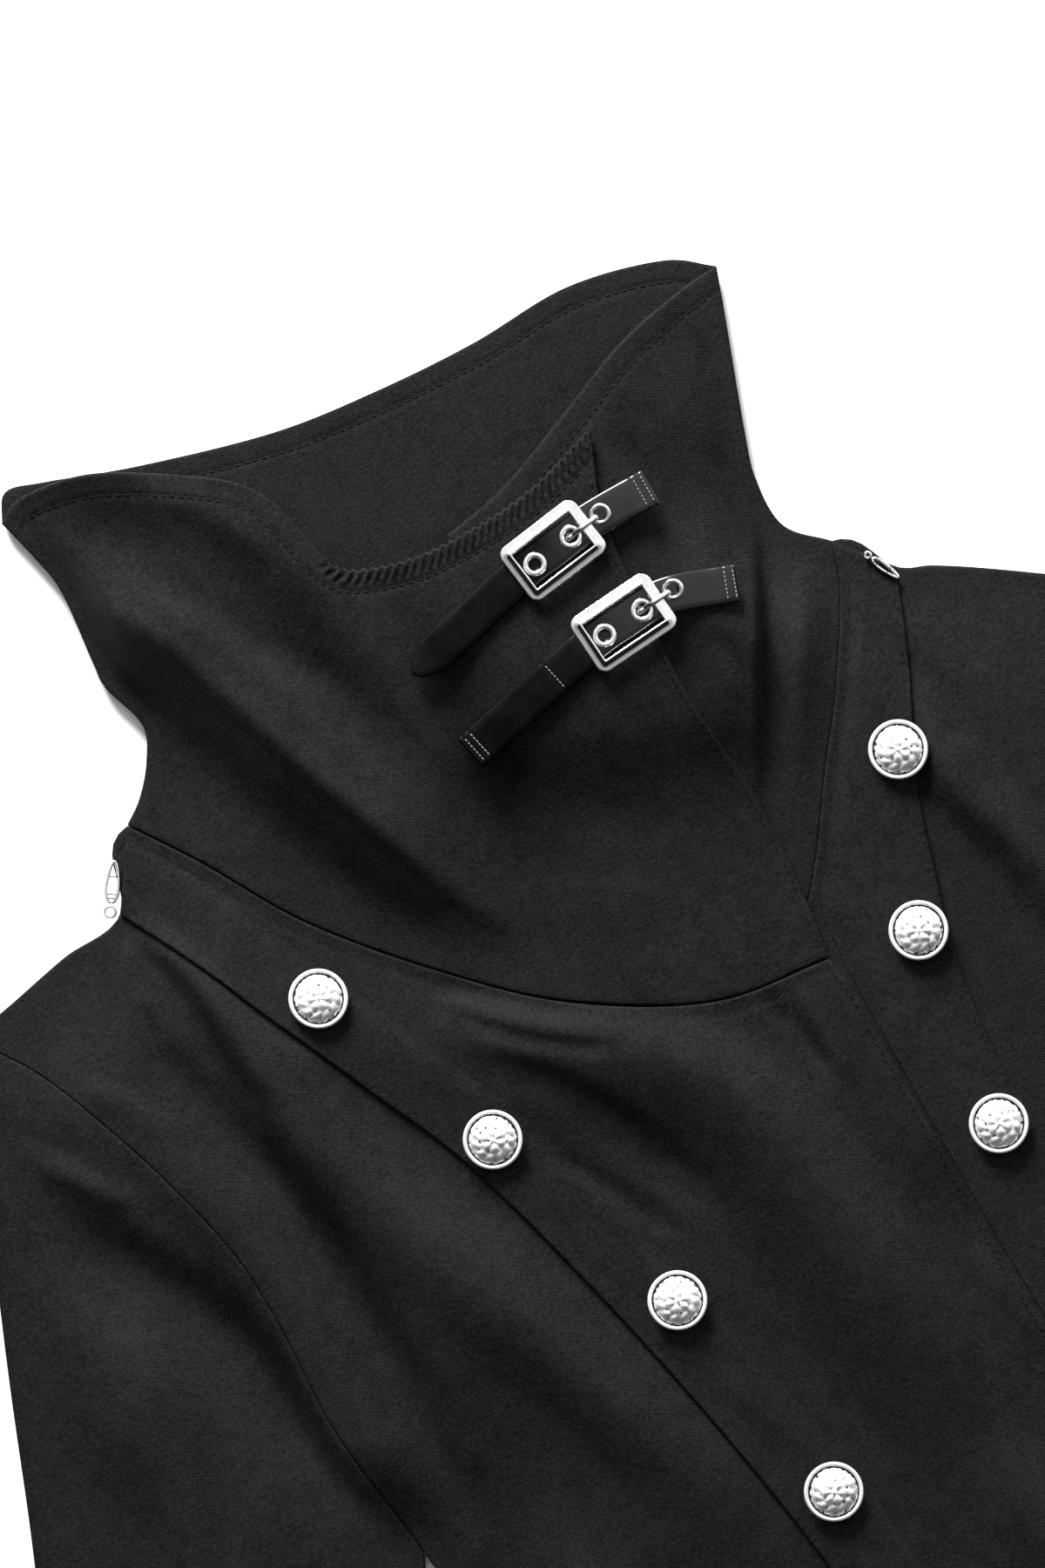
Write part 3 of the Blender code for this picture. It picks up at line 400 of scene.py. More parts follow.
def uneven(s):
    """A slow wander between about -1 and 1 that never quite repeats."""
    return (np.sin(1.31 * s) + 0.6 * np.sin(2.17 * s + 1) + 0.4 * np.sin(0.61 * s + 2)) / 2


def stitched(line, offset, x, y, depth=0.28, width=0.9, pucker=0.22, pitch=5.5):
    """The furrow that a row of topstitching pulls into cloth, with small puckers beside it."""
    path = smooth_path(line, 60)
    gap, along = nearest(path, x, y)
    s = along * length_of(line)
    beside = np.abs(np.abs(gap) - offset)
    furrow = np.exp(-(beside / width) ** 2)
    reach = np.exp(-(beside / (3.2 * width)) ** 2)
    return -depth * furrow + pucker * reach * uneven(2 * np.pi * s / pitch) * (0.6 + 0.4 * uneven(s / 31))


# %% [markdown]
# ## The height of each layer
# The body lies almost flat, the collar stands up as a stiff arch between its two sides, and the wearer's
# right front lies over the left with a small step. These are the same rules as the solids follow, with the
# creases and the stitched furrows added.

# %% Layer heights
def side_below(path, underarm):
    return [p for p in path if p[1] <= underarm[1]]


REST_LINES = [smooth_path(line) for line in (
    SHOULDER_RIGHT + [NECK_RIGHT[0]], SHOULDER_LEFT[::-1] + [NECK_LEFT[0]],
    side_below(SIDE_RIGHT, UNDERARM_RIGHT), side_below(SIDE_LEFT, UNDERARM_LEFT))]
COLLAR_LINES = [smooth_path(COLLAR_SIDE_RIGHT), smooth_path(COLLAR_SIDE_LEFT)]


def away_from(lines, x, y):
    return np.min([np.abs(nearest(line, x, y)[0]) for line in lines], axis=0)


def body_height(x, y):
    away = away_from(REST_LINES + COLLAR_LINES, x, y)
    shape = BODY_LIFT + folds(BODY_FOLDS, x, y) + folds(BODY_CREASES, x, y)
    tucks = folds(BODY_TUCKS, x, y) * ease(away / TUCK_FADE)
    return CLOTH + SEAM_GAP + CLOTH + shape * ease(away / REST_FADE) + tucks


def collar_height(x, y):
    side = away_from(COLLAR_LINES + REST_LINES[:2], x, y)
    seam = np.abs(nearest(smooth_path(NECK_RIGHT), x, y)[0])
    arch = BODY_LIFT + (COLLAR_LIFT - BODY_LIFT) * ease((seam - COLLAR_START) / COLLAR_RISE)
    shape = folds(COLLAR_FOLDS, x, y) + folds(COLLAR_CREASES, x, y)
    folded = shape * ease(side / COLLAR_FOLD_FADE) * ease(seam / COLLAR_SEAM_FADE)
    return CLOTH + SEAM_GAP + CLOTH + arch * ease(side / COLLAR_FADE) + folded


def lap(x, y):
    hidden = smooth_path(COLLAR_HIDDEN_EDGE[:-1] + HIDDEN_EDGE)
    return LAP_STEP * ease((nearest(hidden, x, y)[0] - LAP_START) / LAP_WIDTH)


def rolled(line, x, y, height=0.35):
    """The soft roll that a turned edge keeps beside itself."""
    gap = np.abs(nearest(smooth_path(line, 60), x, y)[0])
    return height * np.exp(-((gap - 0.9) / 0.8) ** 2)


def right_body(x, y):
    edge = stitched(CENTRE_EDGE, EDGE_STITCH, x, y, depth=0.15, pucker=0.1) + rolled(CENTRE_EDGE, x, y)
    neck = stitched(NECK_RIGHT, NECK_STITCH, x, y, depth=0.2, width=0.7) + rolled(NECK_RIGHT, x, y, 0.3)
    return body_height(x, y) + lap(x, y) + folds(LAP_FOLDS, x, y) + edge + neck


def left_body(x, y):
    return body_height(x, y) + rolled(NECK_LEFT, x, y, 0.5)


def right_collar(x, y):
    seams = stitched(LIP_RIGHT, LIP_STITCH, x, y) + stitched(COLLAR_EDGE, EDGE_STITCH, x, y, depth=0.15)
    return collar_height(x, y) + lap(x, y) + seams + roped_lip(x, y) + rolled(COLLAR_EDGE, x, y)


def roped_lip(x, y):
    """Slanting ridges where the turned lip was eased round its hollow."""
    gap, along = nearest(smooth_path(LIP_RIGHT, 60), x, y)
    s = along * length_of(LIP_RIGHT)
    slant = np.sin(2 * np.pi * (s + 0.5 * np.abs(gap)) / ROPE_PITCH + 0.8 * uneven(s / 9))
    between = ease(np.abs(gap) / 0.9) * ease((ROPE_WIDTH - np.abs(gap)) / 1.6)
    return ROPE_DEPTH * slant * between * ease((along - ROPE_START) / 0.06)


def left_collar(x, y):
    """The under piece drops steeply at a fold, rises again and comes down to its neck seam."""
    high, low = collar_height(x, y), body_height(x, y)
    past = nearest(smooth_path(COLLAR_DROP), x, y)[0]
    seam = np.abs(nearest(smooth_path(NECK_LEFT), x, y)[0])
    share = ease((1 - past) / DROP_WIDTH)
    share += RETURN_SHARE * ease((past - 1) / RETURN_WIDTH) * ease(seam / SEAM_WIDTH)
    return low + (high - low) * share + stitched(LIP_LEFT, LIP_STITCH, x, y)


def sheet_under_straps(x, y):
    """Top of the collar where the straps lie, easing down past the lapping edge."""
    past = -nearest(smooth_path(COLLAR_EDGE), x, y)[0]
    return collar_height(x, y) + LAP_STEP * (1 - ease((-past - 3) / STRAP_FADE))


spot = np.array([20.0]), np.array([160.0])
print("collar top beside the upper strap", round(float(right_collar(*spot)[0]), 1), "mm")

# %% [markdown]
# ## Cloth walls from a grid
# Cloth here is a thin closed wall: an upper face, a lower face and a rim. A Coons patch fills the space
# between four edges with rows and columns, and two extra rows beside each edge let the rim round over like
# a turned edge. A Solidify modifier would leave the rim square, so the wall is meshed directly.

# %% Patches and walls
RIM = np.array([0, 0.3, 0.9])
RIM_CLEAR = 2 * RIM[-1]
RIM_FULLNESS = 0.3


def spread(count, length, fine_from=1.0, fine_to=1.0, fine=1):
    """Fractions from 0 to 1, finer over one stretch, with extra lines beside both ends for a rounded rim."""
    even = np.linspace(0, 1, count + 1)
    finer = np.linspace(0, 1, count * fine + 1)
    finer = finer[(finer >= fine_from) & (finer <= fine_to)]
    even = np.unique(np.round(np.r_[even[(even < fine_from) | (even > fine_to)], finer], 9))
    inner = even[(even > RIM_CLEAR / length) & (even < 1 - RIM_CLEAR / length)]
    return np.r_[RIM / length, inner, 1 - RIM[::-1] / length]


def fullness(at, length):
    """How much of its thickness the wall has at each line: less at the very rim."""
    depth = np.clip(np.minimum(at, 1 - at) * length / RIM[-1], 0, 1)
    return RIM_FULLNESS + (1 - RIM_FULLNESS) * np.sqrt(1 - (1 - depth) ** 2)


def patch(top, bottom, left, right, u, v):
    """Plan points of a four-sided cloth patch, from its top line down to its bottom line."""
    u, v = u[None, :, None], v[:, None, None]
    corners = ((1 - u) * (1 - v) * top[0] + u * (1 - v) * top[-1]
               + (1 - u) * v * bottom[0] + u * v * bottom[-1])
    return (1 - v) * top + v * bottom + (1 - u) * left[:, None] + u * right[:, None] - corners


def raised(plan, height):
    x, y = plan[..., 0], plan[..., 1]
    return np.dstack([x, y, height(x, y)])


def grid_normals(grid, ring):
    """Upward normals of a grid of points, or outward ones where its rows are rings."""
    around = np.roll(grid, -1, axis=1) - np.roll(grid, 1, axis=1) if ring else np.gradient(grid, axis=1)
    normal = np.cross(np.gradient(grid, axis=0), around)
    normal /= np.maximum(np.linalg.norm(normal, axis=2), 1e-9)[..., None]
    away = grid - grid.mean(axis=1, keepdims=True) if ring else np.array([0, 0, 1])
    return normal * np.sign((normal * away).sum())


def quads(index, ring=False, closed=False):
    """Faces between rows of point numbers; ring joins the last column to the first, closed the last row."""
    if ring:
        index = np.column_stack([index, index[:, 0]])
    if closed:
        index = np.vstack([index, index[:1]])
    a, b, c, d = index[:-1, :-1], index[1:, :-1], index[1:, 1:], index[:-1, 1:]
    return np.stack([a, b, c, d], axis=-1).reshape(-1, 4)


def closed_form(upper, lower, ring=False):
    """Points and outward faces of the body between two grids of points."""
    under = upper.shape[0] * upper.shape[1]
    index = np.arange(under).reshape(upper.shape[:2])
    top = quads(index, ring)
    if ring:
        index = np.column_stack([index, index[:, 0]])
        borders = [index[0], index[-1, ::-1]]
    else:
        borders = [np.r_[index[0], index[1:, -1], index[-1, -2::-1], index[-2::-1, 0]]]
    rims = [np.column_stack([edge[:-1], edge[1:], edge[1:] + under, edge[:-1] + under]) for edge in borders]
    points = np.vstack([upper.reshape(-1, 3), lower.reshape(-1, 3)])
    faces = np.vstack([top, top[:, ::-1] + under, *rims])
    a, b, c, d = points[faces].transpose(1, 0, 2)
    volume = (a * (np.cross(b, c) + np.cross(c, d))).sum()
    return points, faces if volume > 0 else faces[:, ::-1]


def mesh_object(name, points, faces, finish):
    """A smooth mesh object, from millimetres to metres."""
    mesh = bpy.data.meshes.new(name)
    mesh.from_pydata((points * MM).tolist(), [], faces.tolist())
    mesh.shade_smooth()
    mesh.set_sharp_from_angle(angle=math.radians(SHARP_ANGLE))
    mesh.materials.append(finish)
    made = bpy.data.objects.new(name, mesh)
    bpy.context.scene.collection.objects.link(made)
    return made


def wall(node, grid, thickness, full_rows, full_columns=1.0, ring=False, upward=False):
    """A closed cloth wall below its upper face, or above a lower face when upward, in place of its solid."""
    normal = grid_normals(grid, ring)
    middle = grid + normal * thickness / 2 * (1 if upward else -1)
    half = normal * thickness / 2 * (full_rows[:, None] * full_columns)[..., None]
    made = mesh_object(node + "_cloth", *closed_form(middle + half, middle - half, ring), cloth)
    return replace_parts(made, node)


# %% [markdown]
# ## Shader maths as Python
# A material is a graph of nodes. Wrapping a node's output in a small class lets that graph be written as
# ordinary sums and products, which are easier to read than links. Every other node comes from one method.

# %% Value, Graph and Finish
class Value:
    """One output of a shader node, which adds Math nodes as it is added and multiplied."""

    def __init__(self, graph, socket):
        self.graph, self.socket = graph, socket

    def math(self, operation, other, swapped=False):
        first, second = (other, self) if swapped else (self, other)
        return self.graph.node("ShaderNodeMath", {"operation": operation}, {0: first, 1: second})

    def __add__(self, other):
        return self.math("ADD", other)

    def __sub__(self, other):
        return self.math("SUBTRACT", other)

    def __rsub__(self, other):
        return self.math("SUBTRACT", other, swapped=True)

    def __mul__(self, other):
        return self.math("MULTIPLY", other)

    __radd__, __rmul__ = __add__, __mul__


class Graph:
    """A node tree, with one method for every node that isn't a sum or a product."""

    def __init__(self, tree):
        self.tree = tree

    def node(self, kind, settings=None, values=None, output=0):
        made = self.tree.nodes.new(kind)
        for key, value in (settings or {}).items():
            if key == "stops":
                ramp = made.color_ramp
                while len(ramp.elements) < len(value):
                    ramp.elements.new(0.5)
                for element, (position, colour) in zip(ramp.elements, value):
                    element.position, element.color = position, (*colour, 1)
            else:
                setattr(made, key, value)
        for key, value in (values or {}).items():
            self.feed(made.inputs[key], value)
        return Value(self, made.outputs[output])

    def feed(self, socket, value):
        if isinstance(value, Value):
            self.tree.links.new(value.socket, socket)
        else:
            socket.default_value = value

    def ramp(self, factor, *stops):
        return self.node("ShaderNodeValToRGB", {"stops": stops}, {"Fac": factor})


class Finish(Graph):
    """A named material: constants go straight on its Principled shader's sockets."""

    def __init__(self, name, **constants):
        self.material = bpy.data.materials.new(name)
        self.material.use_nodes = True
        super().__init__(self.material.node_tree)
        self.shader = self.tree.nodes["Principled BSDF"]
        self.surface(**constants)

    def surface(self, **inputs):
        for socket, value in inputs.items():
            self.feed(self.shader.inputs[socket.replace("_", " ")], value)
        return self.material

    def noise(self, scale, detail=3.0):
        spot = self.node("ShaderNodeTexCoord", output="Object")
        return self.node("ShaderNodeTexNoise", values={"Vector": spot, "Scale": scale, "Detail": detail})

    def bump(self, height, strength, distance):
        return self.node("ShaderNodeBump", values={
            "Height": height, "Strength": strength, "Distance": distance})


def grey(level, blue=0.03):
    """A near-neutral colour, very slightly blue."""
    return (level, level, level * (1 + blue))


# %% [markdown]
# ## Charcoal twill
# The cloth is a matte, dense twill, almost black. Close up it shows a fine slanting rib, a soft mottle where
# the nap lies differently, and no gloss. The rib is a wave across the cloth, bent a little by noise, and the
# mottle shifts both colour and roughness.

# %% Cloth and thread
def twill(name, dark, light):
    finish = Finish(name, Specular_IOR_Level=0.10)
    spot = finish.node("ShaderNodeTexCoord", output="Object")
    rib = finish.node("ShaderNodeTexWave", {"bands_direction": "DIAGONAL"}, {
        "Vector": spot, "Scale": 520.0, "Distortion": 1.6, "Detail": 1.0, "Detail Scale": 1.4}, "Fac")
    nap, mottle, patches = finish.noise(900.0, 2.0), finish.noise(170.0, 4.0), finish.noise(24.0, 2.0)
    shade = mottle * 0.3 + nap * 0.55 + patches * 0.15
    return finish.surface(Base_Color=finish.ramp(shade, (0.38, grey(dark)), (0.62, grey(light))),
                          Roughness=0.74 + mottle * 0.2,
                          Normal=finish.bump(rib * 0.2 + nap + mottle * 0.6, 0.6, 0.0003))


cloth = twill("charcoal twill", 0.0020, 0.0090)
thread_finish = Finish("black thread", Roughness=0.7, Specular_IOR_Level=0.1)
fuzz = thread_finish.noise(2600.0, 2.0)
thread = thread_finish.surface(Base_Color=thread_finish.ramp(fuzz, (0.3, grey(0.003)), (0.7, grey(0.009))),
                               Normal=thread_finish.bump(fuzz, 0.4, 0.0001))
print("materials:", cloth.name, "and", thread.name)

# %% [markdown]
# ## The back
# The back is one panel that lies flat on the table and carries all the rest. Only slivers of it show, so it
# gets gentle waves and a rounded edge, and the same outline as the fronts together.

# %% Back panel
def flat_height(x, y):
    """Upper face of a panel on the table: nearly flat, with a slow swell that stays below the fronts."""
    return CLOTH - 0.04 + 0.04 * np.sin(x / 19 + 0.6 * np.sin(y / 27))


def two_lines(upper, lower, upper_at, lower_at):
    """A line with a corner in it, with one point on the corner."""
    return np.vstack([smooth_path(upper, upper_at)[:-1], smooth_path(lower, lower_at)])


BACK_CLOTH = CLOTH - 0.08
BACK_LENGTH = 400.0
BACK_WIDTH = 330.0
v = spread(170, BACK_LENGTH)
u = spread(120, BACK_WIDTH)
back_plan = patch(smooth_path(SHOULDER_RIGHT + NECK_BACK[::-1] + SHOULDER_LEFT, u),
                  smooth_path(HEM_RIGHT[:-1] + HEM_LEFT[1:], u),
                  smooth_path(SIDE_RIGHT, v), smooth_path(SIDE_LEFT, v), u, v)
back = wall("back", raised(back_plan, flat_height), BACK_CLOTH, fullness(v, BACK_LENGTH),
            fullness(u, BACK_WIDTH))
print("back:", len(back.data.polygons), "faces")

# %% [markdown]
# ## The two fronts
# Each front is cut with a shoulder, a neck curve and a straight edge. The neck curve meets the front edge
# at a corner, so the patch's inner line is made of two curves. The wearer's right front lies on top.

# %% Front panels
FRONT_ROWS = 170
FRONT_STEP = 1.9


def front(node, shoulder, side, neck, edge, hem, height):
    neck_length, edge_length, side_length = length_of(neck), length_of(edge), length_of(side)
    share = neck_length / (neck_length + edge_length)
    v = spread(FRONT_ROWS, side_length)
    corner = np.abs(v - share).argmin()
    upper_at, lower_at = v[:corner + 1] / v[corner], (v[corner:] - v[corner]) / (1 - v[corner])
    width = np.hypot(*(np.array(hem[0]) - hem[-1]))
    u = spread(int(width / FRONT_STEP), width)
    plan = patch(smooth_path(shoulder, u), smooth_path(hem, u), smooth_path(side, v),
                 two_lines(neck, edge, upper_at, lower_at), u, v)
    return wall(node, raised(plan, height), CLOTH, fullness(v, side_length), fullness(u, width))


front_right = front("front_right", SHOULDER_RIGHT + [NECK_RIGHT[0]], SIDE_RIGHT, NECK_RIGHT,
                    CENTRE_EDGE, HEM_RIGHT, right_body)
front_left = front("front_left", SHOULDER_LEFT[::-1] + [NECK_LEFT[0]], SIDE_LEFT, NECK_LEFT,
                   HIDDEN_EDGE, HEM_LEFT[::-1], left_body)
for made in (front_right, front_left):
    print(made.name, len(made.data.polygons), "faces")

# %% [markdown]
# ## The button strips
# A strip is sewn down on each front from shoulder to hem and carries the buttons. It is cut from the same
# cloth, with both edges turned under and topstitched, so it sits a cloth's thickness proud of the front.

# %% Button strips
INNER_EDGE_SHARE = 0.1
INNER_FADE = 7.0
STRIP_ROWS = 240
STRIP_STEP = 1.2
STRIP_STITCH = 1.6


def strip_height(body, outer, inner):
    """Lower face of a strip: clear of the front at its outer edge, and pressed to it at its inner edge."""
    def height(x, y):
        seams = stitched(outer, STRIP_STITCH, x, y, depth=0.2, width=0.7)
        pressed = ease(1 - np.abs(nearest(smooth_path(inner, 60), x, y)[0]) / 4)
        return body(x, y) + LAY_GAP * (1 - 0.6 * pressed) + seams * (1 - pressed)
    return height


def button_strip(node, outer, inner, body):
    length = length_of(outer)
    v = spread(STRIP_ROWS, length)
    outer_line, inner_line = smooth_path(outer, v), smooth_path(inner, v)
    width = np.hypot(*(outer_line - inner_line).T).mean()
    u = spread(int(width / STRIP_STEP), width)
    thin = 1 - (1 - INNER_EDGE_SHARE) * ease(1 - (1 - u) * width / INNER_FADE)
    plan = patch(smooth_path([outer_line[0], inner_line[0]], u),
                 smooth_path([outer_line[-1], inner_line[-1]], u), outer_line, inner_line, u, v)
    return wall(node, raised(plan, strip_height(body, outer, inner)), STRIP_CLOTH,
                fullness(v, length), fullness(u, width) * thin, upward=True)


strip_right = button_strip("button_strip_right", STRIP_RIGHT_OUT, STRIP_RIGHT_IN, right_body)
strip_left = button_strip("button_strip_left", STRIP_LEFT_OUT, STRIP_LEFT_IN, left_body)
print("strips:", len(strip_right.data.polygons) + len(strip_left.data.polygons), "faces")

# %% [markdown]
# ## The funnel collar
# The collar is a tall tube of double cloth. Lying flat, its back half rests on the table and its two front
# halves arch over it, the right over the left. The mouth stays open, so the inside of the back half shows.

# %% Collar pieces
COLLAR_ROWS_STEP = 1.6
COLLAR_COLUMNS_STEP = 1.7
COLLAR_BACK_CLOTH = CLOTH - 0.6
FOOT_POINTS = 200


def collar_piece(node, lip, seam, upper_side, lower_side, seam_inset, height, thickness=CLOTH, roped=1.0):
    """A collar panel from its lip to its neck seam; its columns are finer past the roped share of the lip."""
    width, depth = length_of(lip), length_of(lower_side)
    u = spread(int(width / COLLAR_COLUMNS_STEP), width, fine_from=roped, fine=3 if roped < 1 else 1)
    v = spread(int(depth / COLLAR_ROWS_STEP), depth, fine_from=0.0, fine_to=9 / depth, fine=2)
    foot = inset(smooth_path(seam, FOOT_POINTS), seam_inset)
    foot = between(foot, np.linspace(0, 1, FOOT_POINTS), u)
    sides = [smooth_path(line[:-1] + [tuple(foot[k])], v) for line, k in ((upper_side, 0), (lower_side, -1))]
    plan = patch(smooth_path(lip, u), foot, *sides, u, v)
    return wall(node, raised(plan, height), thickness, fullness(v, depth), fullness(u, width))


def collar_back_height(x, y):
    lip = stitched(LIP_BACK, LIP_STITCH, x, y, depth=0.3, pucker=0.1)
    return CLOTH - 0.25 + lip + 0.1 * np.sin(x / 17 + 0.5 * np.sin(y / 11))


collar_right = collar_piece("collar_right", LIP_RIGHT, NECK_RIGHT, COLLAR_SIDE_RIGHT, COLLAR_EDGE,
                            SEAM_GAP, right_collar, roped=ROPE_START)
collar_left = collar_piece("collar_left", LIP_LEFT, NECK_LEFT[::-1], COLLAR_HIDDEN_EDGE,
                           COLLAR_SIDE_LEFT, -SEAM_GAP, left_collar)
collar_back = collar_piece("collar_back", LIP_BACK, NECK_BACK[::-1], COLLAR_SIDE_RIGHT,
                           COLLAR_SIDE_LEFT, SEAM_GAP, collar_back_height, COLLAR_BACK_CLOTH)
for made in (collar_right, collar_left, collar_back):
    print(made.name, len(made.data.polygons), "faces")

# %% [markdown]
# ## The sleeves
# A sleeve is a tube pressed flat: its underside lies on the table, its top is crowned with folds, and its
# two sides are soft folded edges. It is open at the armhole and the cuff. Rings of points follow it down.

# %% Sleeves
SLEEVE_RINGS = 190
TOP_ACROSS = np.r_[0, 0.012, 0.024, 0.04, np.linspace(0.06, 0.94, 58), 0.96, 0.976, 0.988, 1]
UNDER_ACROSS = 0.05 + 0.9 * np.linspace(1, 0, 26)
ARM_POINTS = 81
UNDERSIDE_INSET = 2.4
SLEEVE_CLOTH = CLOTH - 0.2


def sleeve(node, side_line, underarm, outer, inner, height, head):
    """A flattened tube; its armhole takes the front's height, which fades over the head share."""
    armhole = [p for p in smooth_path(side_line, 200) if p[1] >= underarm[1]]
    arm = inset(smooth_path(armhole, ARM_POINTS), SEAM_LINE if underarm[0] > 0 else -SEAM_LINE)
    length = length_of(outer)
    down = spread(SLEEVE_RINGS, length)
    at = np.linspace(0, 1, ARM_POINTS)
    cuff = smooth_path([outer[-1], inner[-1]], ARM_POINTS)
    plan = patch(arm, cuff, smooth_path([arm[0]] + outer[1:], down), smooth_path([arm[-1]] + inner[1:], down),
                 at, down)
    rings = []
    for row, along in zip(plan, down):
        top, low = between(row, at, TOP_ACROSS), between(row, at, UNDER_ACROSS)
        side = np.minimum(TOP_ACROSS, 1 - TOP_ACROSS) * math.dist(row[0], row[-1])
        x, y = top.T
        shape = SLEEVE_CROWN + folds(SLEEVE_FOLDS, x, y) + folds(SLEEVE_CREASES, x, y)
        free = FOLD_EDGE / 2 * (1 + ease(side / SLEEVE_EDGE)) + shape * ease(side / SLEEVE_SHOULDER)
        seam = height(x, y)
        z = seam + (free - seam) * ease(along / head)
        z = FOLD_EDGE / 2 + (z - FOLD_EDGE / 2) * np.sqrt(ease(side / UNDERSIDE_INSET))
        rings.append(np.vstack([np.column_stack([top, z]), np.column_stack([low, np.zeros(len(low))])]))
    return wall(node, np.array(rings), SLEEVE_CLOTH, fullness(down, length), ring=True)


sleeve_right = sleeve("sleeve_right", SIDE_RIGHT, UNDERARM_RIGHT, SLEEVE_RIGHT_OUT, SLEEVE_RIGHT_IN,
                      right_body, 0.06)
sleeve_left = sleeve("sleeve_left", SIDE_LEFT, UNDERARM_LEFT, SLEEVE_LEFT_OUT, SLEEVE_LEFT_IN,
                     left_body, 0.12)
print("sleeves:", len(sleeve_right.data.polygons) + len(sleeve_left.data.polygons), "faces")

# %% [markdown]
# ## Topstitching
# Rows of machine stitches hold the turned edges. At this scale each stitch is a short thread whose ends dip
# into the cloth, so a row is one mesh of many bent threads, laid on the height of the cloth beneath. The
# helper that sweeps a round thread along a path bends the metal wires later too.

# %% Threads and stitches
STITCH_PITCH = 2.9
STITCH_SHARE = 0.8
STRAP_PITCH = 1.3
STITCH_ARCH = np.array([-0.22, 0.1, 0.17, 0.1, -0.22])


def joined(meshes):
    """Points and faces of several meshes as one."""
    starts = np.cumsum([0] + [len(points) for points, _ in meshes])
    return (np.vstack([points for points, _ in meshes]),
            np.vstack([faces + start for (_, faces), start in zip(meshes, starts)]))


def wire_mesh(path, radius, closed=False, sides=10, tip=0.55):
    """Points and faces of a round wire along 3-D points; an open one has ends of radius times tip."""
    path = np.array(path, float)
    ahead = np.roll(path, -1, axis=0) - np.roll(path, 1, axis=0) if closed else np.gradient(path, axis=0)
    ahead /= np.linalg.norm(ahead, axis=1)[:, None]
    side = np.cross(ahead, [0.0, 0.0, 1.0])
    side /= np.maximum(np.linalg.norm(side, axis=1), 1e-6)[:, None]
    above = np.cross(side, ahead)
    turn = np.linspace(0, 2 * np.pi, sides, endpoint=False)[:, None]
    radii = np.full(len(path), float(radius))
    if not closed:
        radii[[0, -1]] *= tip
    round_it = side[:, None] * np.cos(turn) + above[:, None] * np.sin(turn)
    points = (path[:, None] + round_it * radii[:, None, None]).reshape(-1, 3)
    return points, quads(np.arange(len(points)).reshape(len(path), sides), ring=True, closed=closed)


def stitch_row(line, height, pitch):
    """One row of stitches along plan points, each an arch that dips into the cloth at its ends."""
    reach = run_of(line)
    starts = np.arange(0.4 * pitch, reach[-1] - pitch, pitch)
    along = starts[:, None] + np.linspace(0, STITCH_SHARE * pitch, len(STITCH_ARCH))
    x, y = np.interp(along, reach, line[:, 0]), np.interp(along, reach, line[:, 1])
    arches = np.dstack([x, y, height(x, y) + STITCH_ARCH])
    return joined([wire_mesh(arch, THREAD, sides=6, tip=1) for arch in arches])


def stitching(name, rows, pitch=STITCH_PITCH, finish=thread):
    """One object of several rows, each a plan line and the height of its cloth."""
    made = mesh_object(name, *joined([stitch_row(line, height, pitch) for line, height in rows]), finish)
    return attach(made, "root")


def inside(points, distance, start=0.0, end=1.0):
    """A line that runs a set distance to the left of a seam, over part of its length."""
    return inset(smooth_path(points, np.linspace(start, end, 300)), distance)


def strip_top(body, outer, inner):
    lower = strip_height(body, outer, inner)
    return lambda x, y: lower(x, y) + STRIP_CLOTH * 0.98


RIGHT_STRIP_TOP = strip_top(right_body, STRIP_RIGHT_OUT, STRIP_RIGHT_IN)
LEFT_STRIP_TOP = strip_top(left_body, STRIP_LEFT_OUT, STRIP_LEFT_IN)
collar_right_stitches = stitching("collar_right_stitches", [
    (inside(LIP_RIGHT, -LIP_STITCH, 0.02, 0.95), right_collar),
    (inside(COLLAR_EDGE, -EDGE_STITCH, 0.02, 0.98), right_collar)])
collar_left_stitches = stitching("collar_left_stitches", [
    (inside(LIP_LEFT, -LIP_STITCH, 0.02, 0.95), left_collar)])
collar_back_stitches = stitching("collar_back_stitches", [
    (inside(LIP_BACK, -LIP_STITCH, 0.04, 0.96), collar_back_height)])
strip_right_stitches = stitching("button_strip_right_stitches", [
    (inside(STRIP_RIGHT_OUT, STRIP_STITCH, 0.005, 0.995), RIGHT_STRIP_TOP)])
strip_left_stitches = stitching("button_strip_left_stitches", [
    (inside(STRIP_LEFT_OUT, -STRIP_STITCH, 0.005, 0.995), LEFT_STRIP_TOP)])
front_right_stitches = stitching("front_right_stitches", [
    (inside(CENTRE_EDGE, -EDGE_STITCH, 0.01, 0.99), right_body),
    (inside(HEM_RIGHT, HEM_STITCH, 0.01, 0.99), right_body)])
front_left_stitches = stitching("front_left_stitches", [
    (inside(HEM_LEFT, HEM_STITCH, 0.3, 0.99), left_body)])
rows = [made for made in bpy.data.objects if made.name.endswith("stitches")]
print("stitches:", sum(len(made.data.polygons) for made in rows) // (6 * (len(STITCH_ARCH) - 1)))

# %% [markdown]
# ## Metal and leather
# The buttons and buckles are polished, nickel-plated metal. Mirror metal shows the room, so its look comes
# from the light around it; the material adds faint scratches, and on the buttons painted shade in the hollows
# of the relief. The straps are smooth black leather with a soft shine and a fine grain.

# %% Metal and leather materials
plated = Finish("plated buckle metal", Metallic=1.0)
scratches = plated.noise(700.0, 3.0)
buckle_metal = plated.surface(Base_Color=plated.ramp(scratches, (0.35, grey(0.78)), (0.65, grey(0.9))),
                              Roughness=0.06 + scratches * 0.08,
                              Normal=plated.bump(scratches, 0.08, 0.0001))
